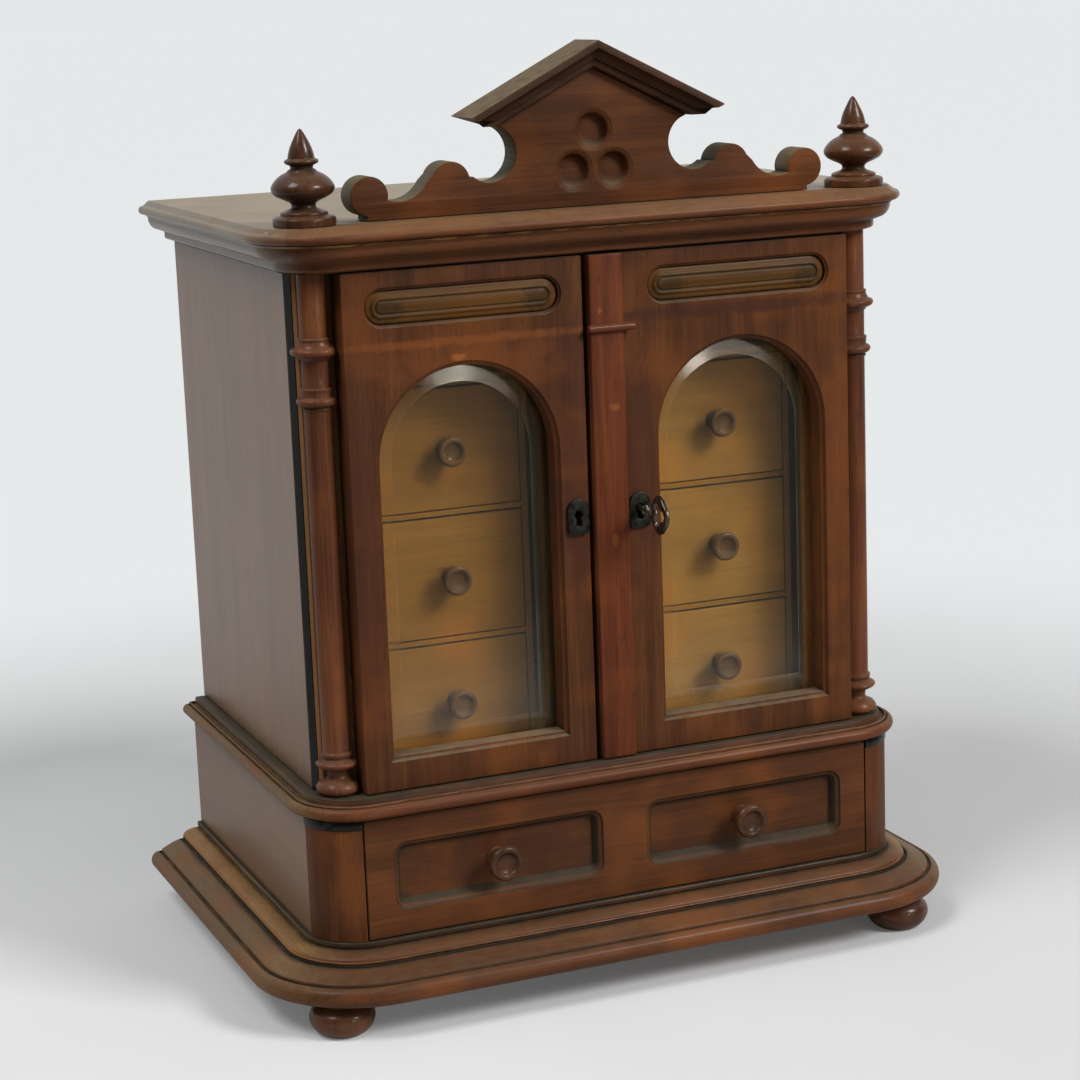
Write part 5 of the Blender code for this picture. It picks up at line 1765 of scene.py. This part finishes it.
    def escutcheon(self) -> None:
        """Small arched plate pierced by a keyhole."""
        node = f"{self.side}_escutcheon"
        low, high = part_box(node)
        middle, half = (low.x + high.x) / 2, (high.x - low.x) / 2
        corner = half * self.plate_corner
        outer = ring((half - corner, low.z + corner), corner, -90, 0, 8)
        outer += ring((0.0, high.z - half), half, 0, 180, 28)
        outer += ring((-half + corner, low.z + corner), corner, 180, 270, 8)
        level, r = lock_level(), self.keyhole
        foot = level - self.keyhole_foot
        side = r * self.keyhole_share
        hole = ring((0.0, level), r, 240, -60, 22) + [(side, foot), (-side, foot)]
        loops = [shifted(loop, middle, 0.0) for loop in (outer, hole)]
        self.bench.fit(node, sawn(loops, low.y, high.y, self.plate_ease), Stock.STEEL, STEEL)

    def meeting_pieces(self) -> None:
        """Strip over the joint of the doors, its astragal, and the lock."""
        wood = replace(
            WALNUT,
            name="walnut_strip",
            tones=shades((66, 33, 19), (92, 45, 25), (112, 58, 31)),
            wear=0.7,
            warmth=0.4,
            spots=self.STRIP_SPOTS,
        )
        low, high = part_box("meeting_strip")
        seat = low.y - self.seat
        self.bench.fit("meeting_strip", slab(low, high, self.strip_ease), Stock.WALNUT, wood)
        low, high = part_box("strip_astragal")
        radius, ease = (high.z - low.z) / 2, self.astragal_ease
        rings = []
        for inset, x in ((ease, low.x), (0.0, low.x + ease), (0.0, high.x - ease), (ease, high.x)):
            loop = ring((low.y + radius, (low.z + high.z) / 2), radius - inset, 90, 270, 16)
            loop = [(seat, high.z - inset), *loop, (seat, low.z + inset)]
            rings.append([Vector((x, y, z)) for y, z in loop])
        wood = replace(wood, name="walnut_astragal", grain=Grain.ACROSS, rough=0.3, coat=0.12)
        self.bench.fit("strip_astragal", lofted(rings), Stock.WALNUT, wood)
        for node in ("lock_case", "lock_bolt"):
            self.bench.dress(node, Stock.STEEL, STEEL)


@dataclass
class Key:
    """Key with a pierced bow, a collared shank and a bit."""

    bench: Bench
    shank: float = 0.0017
    bow: float = 0.0105
    bow_thickness: float = 0.0024
    bow_ease: float = 0.0009
    bow_steps: int = 72
    bit: float = 0.0046
    bit_half: float = 0.0007
    bit_reach: float = 0.0052
    bit_ease: float = 0.0002

    BOW = ((0.94, 0.06, 4), (0.50, 0.15, 3))
    SHANK = (
        Turn(0.0, 0.0022, True), Turn(1.0, 0.0022, True), Turn(1.3, 0.0006), Turn(1.9, -0.0008),
        Turn(1.3, -0.0022), Turn(1.0, -0.0034, True), Turn(1.0, -0.0052, True), Turn(1.6, -0.0060),
        Turn(1.6, -0.0072), Turn(1.0, -0.0080, True),
    )

    def build(self) -> None:
        """Turns the shank and saws bow and bit."""
        low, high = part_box("key")
        x, level = (low.x + high.x) / 2, lock_level()
        bow_y = low.y + self.bow
        shoulder = bow_y + self.bow
        tip = shoulder - high.y
        profile = scaled(self.SHANK, self.shank, 1.0) + [Turn(self.shank, tip, True), Turn(0.0, tip, True)]
        shape = moved(turned(flowing(profile), 28), facing_front(Vector((x, shoulder, level))))
        loops = [self.bow_loop(*numbers) for numbers in self.BOW]
        bow = sawn(loops, -self.bow_thickness / 2, self.bow_thickness / 2, self.bow_ease)
        turn = Matrix.Translation((x, bow_y, level)) @ Matrix.Rotation(math.pi / 2, 4, "Z")
        self.add(shape, moved(bow, turn @ Matrix.Rotation(math.pi, 4, "Z")))
        bit_low = Vector((x - self.bit_half, high.y - self.bit, level - self.bit_reach))
        self.add(shape, slab(bit_low, Vector((x + self.bit_half, high.y, level)), self.bit_ease))
        self.bench.fit("key", shape, Stock.STEEL, STEEL_KEY)

    def bow_loop(self, mean: float, swing: float, lobes: int) -> list[Point2]:
        """Lobed outline of the bow or of its piercing.

        Args:
            mean: its mean radius, as a share of the bow's.
            swing: how far the lobes stand out and in.
            lobes: their number.

        Returns:
            The loop.
        """
        loop = []
        for i in range(self.bow_steps):
            a = math.tau * i / self.bow_steps
            reach = self.bow * (mean + swing * math.cos(lobes * a))
            loop.append((reach * math.cos(a), reach * math.sin(a)))
        return loop

    @staticmethod
    def add(shape: Shape, other: Shape) -> None:
        """Adds the faces of another shape to this one.

        Args:
            shape: the shape that grows.
            other: the other one, which is used up.
        """
        mesh = bpy.data.meshes.new("part")
        other.to_mesh(mesh)
        other.free()
        shape.from_mesh(mesh)
        bpy.data.meshes.remove(mesh)


@dataclass
class Pediment:
    """Shaped board with three dished roundels under a gable moulding."""

    bench: Bench
    seat: float = 0.0003
    board_ease: float = 0.0005
    board_angle: float = 32.0
    pitch: float = math.radians(26.73)
    gable_thickness: float = 0.012
    gable_rise: float = 0.0846
    gable_foot: float = 0.0490
    gable_drops: Point2 = (0.0020, 0.0052)
    scroll: Point2 = (0.1229, 0.0126)
    scroll_radius: float = 0.0100
    end_beyond: float = 0.0014
    end_height: float = 0.0026
    hollow: Point2 = (0.1070, 0.0268)
    hollow_radius: float = 0.0175
    bump: Point2 = (0.0790, 0.0171)
    bump_radius: float = 0.0103
    bite_x: float = 0.0574
    bite_below: float = 0.0119
    bite_radius: float = 0.0144
    bite_edge: float = 0.0039
    roundel_radius: float = 0.0108
    roundel_depth: float = 0.005
    roundel_lip: float = 0.0003
    gable_turns: Point2 = (0.2, 0.69)
    waste: float = 0.002

    ROUNDELS = ((0.0, 0.0391), (-0.01125, 0.0186), (0.01125, 0.0186))
    DISH = (
        Turn(0.90, -0.10), Turn(0.80, -0.22, True), Turn(0.74, -0.52), Turn(0.66, -0.82),
        Turn(0.52, -0.97), Turn(0.30, -1.0), Turn(0.0, -1.0),
    )
    GABLE_TOP = ((-0.0006, 0.0), (-0.0002, 0.0002), (0.0, 0.0008))
    GABLE_STEPS = (
        (0.0, 0.29), (-0.0002, 0.31), (-0.0014, 0.33), (-0.0026, 0.365), (-0.0036, 0.42), (-0.0043, 0.485),
        (-0.0048, 0.56), (-0.0052, 0.68), (-0.0066, 0.70), (-0.0068, 0.94), (-0.0076, 1.0),
    )

    def __post_init__(self) -> None:
        """Takes the level of the top board from the frame."""
        self.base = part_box("top_board")[1].z
        self.ridge = self.gable_rise - (self.gable_thickness + self.seat) / math.cos(self.pitch)

    def build(self) -> None:
        """Saws the board, dishes its roundels and runs the gable."""
        self.board()
        self.gable()

    def outline(self) -> list[Point2]:
        """Outline of the board: scroll, hollow, bump, round bite and raking edge, then its mirror.

        Returns:
            The (x, z) loop.
        """
        rake = math.tan(self.pitch)
        end = self.scroll[0] + self.end_beyond
        bite = (self.bite_x, self.ridge - rake * self.bite_x - self.bite_below)
        edge = self.bite_x - self.bite_edge
        right = [(end, self.seat), (end, self.end_height)]
        right += ring(self.scroll, self.scroll_radius, -80, 194, 48)
        right += ring(self.hollow, self.hollow_radius, -72, -150, 18)
        right += ring(self.bump, self.bump_radius, 24, 170, 26)
        right += ring(bite, self.bite_radius, -50, -238, 36)
        right += [(edge, self.ridge - rake * edge)]
        return shifted(right + [(0.0, self.ridge)] + mirrored(right), 0.0, self.base)

    def board(self) -> None:
        """The shaped board with its three roundels."""
        low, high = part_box("pediment_board")
        r, d = self.roundel_radius, self.roundel_depth
        mouth, rise = r + self.roundel_lip, self.waste
        dish = [Turn(0.0, rise, True), Turn(mouth, rise, True), Turn(mouth, 0.0001, True), Turn(r, -0.0002)]
        line = flowing(dish + scaled(self.DISH, r, d))
        cutters = []
        for x, z in self.ROUNDELS:
            cutters.append(moved(turned(line, 48), facing_front(Vector((x, low.y, self.base + z)))))
        shape = carved(sawn([self.outline()], low.y, high.y, self.board_ease), cutters)
        behind = low.y + d + self.board_ease
        for face in shape.faces:
            face.material_index = int(abs(face.normal.y) < 0.5 and face.calc_center_median().y > behind)
        finish = replace(WALNUT_ACROSS, name="walnut_pediment", dust=0.5, reach=0.006)
        edge = replace(
            WALNUT,
            name="walnut_pediment_edge",
            grain=Grain.DEEP,
            tones=shades((62, 54, 39), (82, 73, 54), (96, 86, 65)),
            warm=paint(90, 72, 48),
            dust=0.6,
        )
        self.bench.fit("pediment_board", shape, Stock.WALNUT, finish, edge, angle=self.board_angle)

    def gable(self) -> None:
        """Moulding that runs up both rakes and meets in a mitre."""
        low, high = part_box("gable_moulding")
        face, back = self.bench.depth(low.y), self.bench.depth(high.y)
        t = self.gable_thickness
        section = [(back, 0.0), *shifted(self.GABLE_TOP, face, 0.0)]
        section += [(face + out, share * t) for out, share in self.GABLE_STEPS] + [(back, t)]
        stations: list[list[Vector]] = [[], [], []]
        for deep, down in section:
            top = self.gable_rise - down / math.cos(self.pitch)
            foot = self.gable_foot - self.gable_drops[0] * min(1.0, down / (self.gable_turns[0] * t))
            if down > self.gable_turns[1] * t:
                foot = self.gable_foot - self.gable_drops[1]
            reach = (top - foot) / math.tan(self.pitch)
            for station, x, z in zip(stations, (-reach, 0.0, reach), (foot, top, foot)):
                station.append(self.bench.at(x, deep, self.base + z))
        finish = replace(
            WALNUT_ACROSS,
            name="walnut_gable",
            tones=shades((42, 26, 17), (58, 37, 24), (72, 47, 31)),
            warm=paint(82, 50, 28),
            dust=0.66,
            dust_tint=paint(126, 113, 90),
            reach=0.005,
        )
        self.bench.fit("gable_moulding", lofted(stations), Stock.WALNUT, finish, angle=SHARP_CARVING)


class Lamp(NamedTuple):
    """A soft lamp: degrees to the right and up, distance, face, watts and colour."""

    name: str
    azimuth: float
    rise: float
    away: float
    size: Point2
    power: float
    tint: Colour


@dataclass
class Studio:
    """Pale floor, soft lamps, pale surroundings and the camera at the photo's view."""

    pale: Colour = (0.78, 0.80, 0.81)
    dull: Colour = (0.02, 0.02, 0.02)
    floor_half: float = 40.0
    near: float = 0.34
    far: float = 1.00
    ambient: float = 0.38
    behind: float = 1.0
    ahead: float = 0.10
    turning: Point2 = (-0.3, 0.4)
    through: float = 0.35
    painted_floor_glow: float = 0.09
    lens: float = 87.14
    sensor: float = 36.0
    camera_place: Point3 = (-0.54575, -1.33976, 0.53435)
    camera_right: Point3 = (0.92251, -0.38420, -0.03695)
    camera_up: Point3 = (0.11430, 0.18050, 0.97692)
    lamp_aim: Point3 = (0.0, 0.0, 0.22)

    SHEET = ((0.53, 0.53, 0.53), (0.57, 0.57, 0.57))
    PLAIN = (1.0, 1.0, 1.0)
    SUNNY = (1.0, 0.93, 0.80)
    LAMPS = (
        Lamp("window_right", 38.0, 36.0, 4.0, (1.3, 1.3), 136.0, PLAIN),
        Lamp("window_left", -70.0, 56.0, 4.0, (1.4, 1.4), 86.0, PLAIN),
        Lamp("window_low", 17.5, 8.0, 3.0, (0.36, 0.34), 4.6, SUNNY),
        Lamp("window_wide", 25.0, 7.5, 3.0, (1.2, 0.40), 3.6, SUNNY),
    )

    def build(self) -> None:
        """Sets up everything round the cabinet."""
        self.floor()
        self.world()
        for lamp in self.LAMPS:
            self.hang(lamp)
        self.camera()
        bpy.context.scene.view_settings.view_transform = "Standard"

    def floor(self) -> None:
        """Pale floor: lit and shaded round the cabinet, with a painted glow that lightens it there, stronger
        on the left; an even pale ground further away.
        """
        shape = bmesh.new()
        bmesh.ops.create_grid(shape, x_segments=4, y_segments=4, size=self.floor_half)
        mesh = bpy.data.meshes.new("floor")
        shape.to_mesh(mesh)
        shape.free()
        mesh.materials.append(self.floor_sheet())
        floor = bpy.data.objects.new("floor", mesh)
        bpy.context.scene.collection.objects.link(floor)

    def floor_sheet(self) -> bpy.types.Material:
        """Pale sheet that takes the cabinet's shadow, lightened near the cabinet by a painted glow that is
        stronger on the left, and runs over into the ground.

        Returns:
            The material.
        """
        board = NodeBoard("pale_floor")
        length = board.node("VectorMath")
        length.operation = "LENGTH"
        board.feed(length.inputs[0], board.place)
        away = board.step(length.outputs["Value"], self.near, self.far)
        sheet = board.ramp(board.cloud(0.35), (0.3, 0.7), self.SHEET)
        rough = board.step(board.cloud(0.05), 0.3, 0.7, 0.8, 0.95)
        board.finish(board.mix(away, sheet, self.dull), rough, Specular_IOR_Level=0.0)
        across, deep, _ = board.parts(board.place)
        back = board.step(deep, *self.turning, self.ahead, self.behind)
        # painted light: the near floor glows, more on the left where the cabinet shades it
        painted_floor_glow = board.step(across, -0.35, 0.15, self.painted_floor_glow * 2, self.painted_floor_glow * 0.7)
        glow = board.math("MULTIPLY", board.math("MAXIMUM", away, painted_floor_glow), self.seen(board, back))
        board.shader.inputs["Emission Color"].default_value = (*self.pale, 1.0)
        board.feed(board.shader.inputs["Emission Strength"], glow)
        return board.material

    def seen(self, wiring: Wiring, back: Socket) -> Socket:
        """How brightly the ground shows: full to the eye, by its place in reflections and through glass.

        Args:
            wiring: the nodes that it is added to.
            back: brightness in reflections.

        Returns:
            The brightness.
        """
        path = wiring.node("LightPath").outputs
        glossy = wiring.math("MULTIPLY", path["Is Glossy Ray"], back)
        clear = wiring.math("MAXIMUM", back, self.through)
        clear = wiring.math("MULTIPLY", path["Is Transmission Ray"], clear)
        return wiring.math("MAXIMUM", path["Is Camera Ray"], wiring.math("MAXIMUM", glossy, clear))

    def world(self) -> None:
        """Surroundings: pale to the eye, bright behind and dim in front for reflections, soft as light."""
        world = bpy.data.worlds.new("surroundings")
        bpy.context.scene.world = world
        world.use_nodes = True
        wiring = Wiring(world.node_tree)
        _, deep, _ = wiring.parts(wiring.node("TexCoord").outputs["Generated"])
        level = self.seen(wiring, wiring.step(deep, *self.turning, self.ahead, self.behind))
        soft = wiring.node("LightPath").outputs["Is Diffuse Ray"]
        backing = world.node_tree.nodes["Background"]
        backing.inputs["Color"].default_value = (*self.pale, 1.0)
        wiring.feed(backing.inputs["Strength"], wiring.math("MULTIPLY_ADD", soft, self.ambient, level))

    def hang(self, lamp: Lamp) -> None:
        """Hangs a lamp so that it looks at the cabinet.

        Args:
            lamp: the lamp.
        """
        data = bpy.data.lights.new(lamp.name, "AREA")
        data.color = lamp.tint
        data.shape = "RECTANGLE"
        data.size, data.size_y = lamp.size
        data.energy = lamp.power
        holder = bpy.data.objects.new(lamp.name, data)
        a, e = math.radians(lamp.azimuth), math.radians(lamp.rise)
        way = Vector((math.sin(a) * math.cos(e), -math.cos(a) * math.cos(e), math.sin(e)))
        holder.location = Vector(self.lamp_aim) + way * lamp.away
        holder.rotation_euler = way.to_track_quat("Z", "Y").to_euler()
        bpy.context.scene.collection.objects.link(holder)

    def camera(self) -> None:
        """Camera where the photo was taken from."""
        data = bpy.data.cameras.new("photo_camera")
        data.lens = self.lens
        data.sensor_width = self.sensor
        camera = bpy.data.objects.new("photo_camera", data)
        right, up = Vector(self.camera_right), Vector(self.camera_up)
        turn = Matrix((right, up, right.cross(up))).transposed()
        camera.matrix_world = Matrix.Translation(self.camera_place) @ turn.to_4x4()
        bpy.context.scene.collection.objects.link(camera)
        bpy.context.scene.camera = camera


def main() -> None:
    """Builds and dresses the cabinet and sets up the studio."""
    logging.basicConfig(level=logging.INFO, format="%(message)s")
    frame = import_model()
    bench = Bench(frame)
    Mouldings(bench).build()
    Turnery(bench).build()
    Plinth(bench).build()
    Carcase(bench).build()
    for hand in Hand:
        Door(bench, hand).build()
    Key(bench).build()
    Pediment(bench).build()
    Studio().build()


if __name__ == "__main__":
    main()
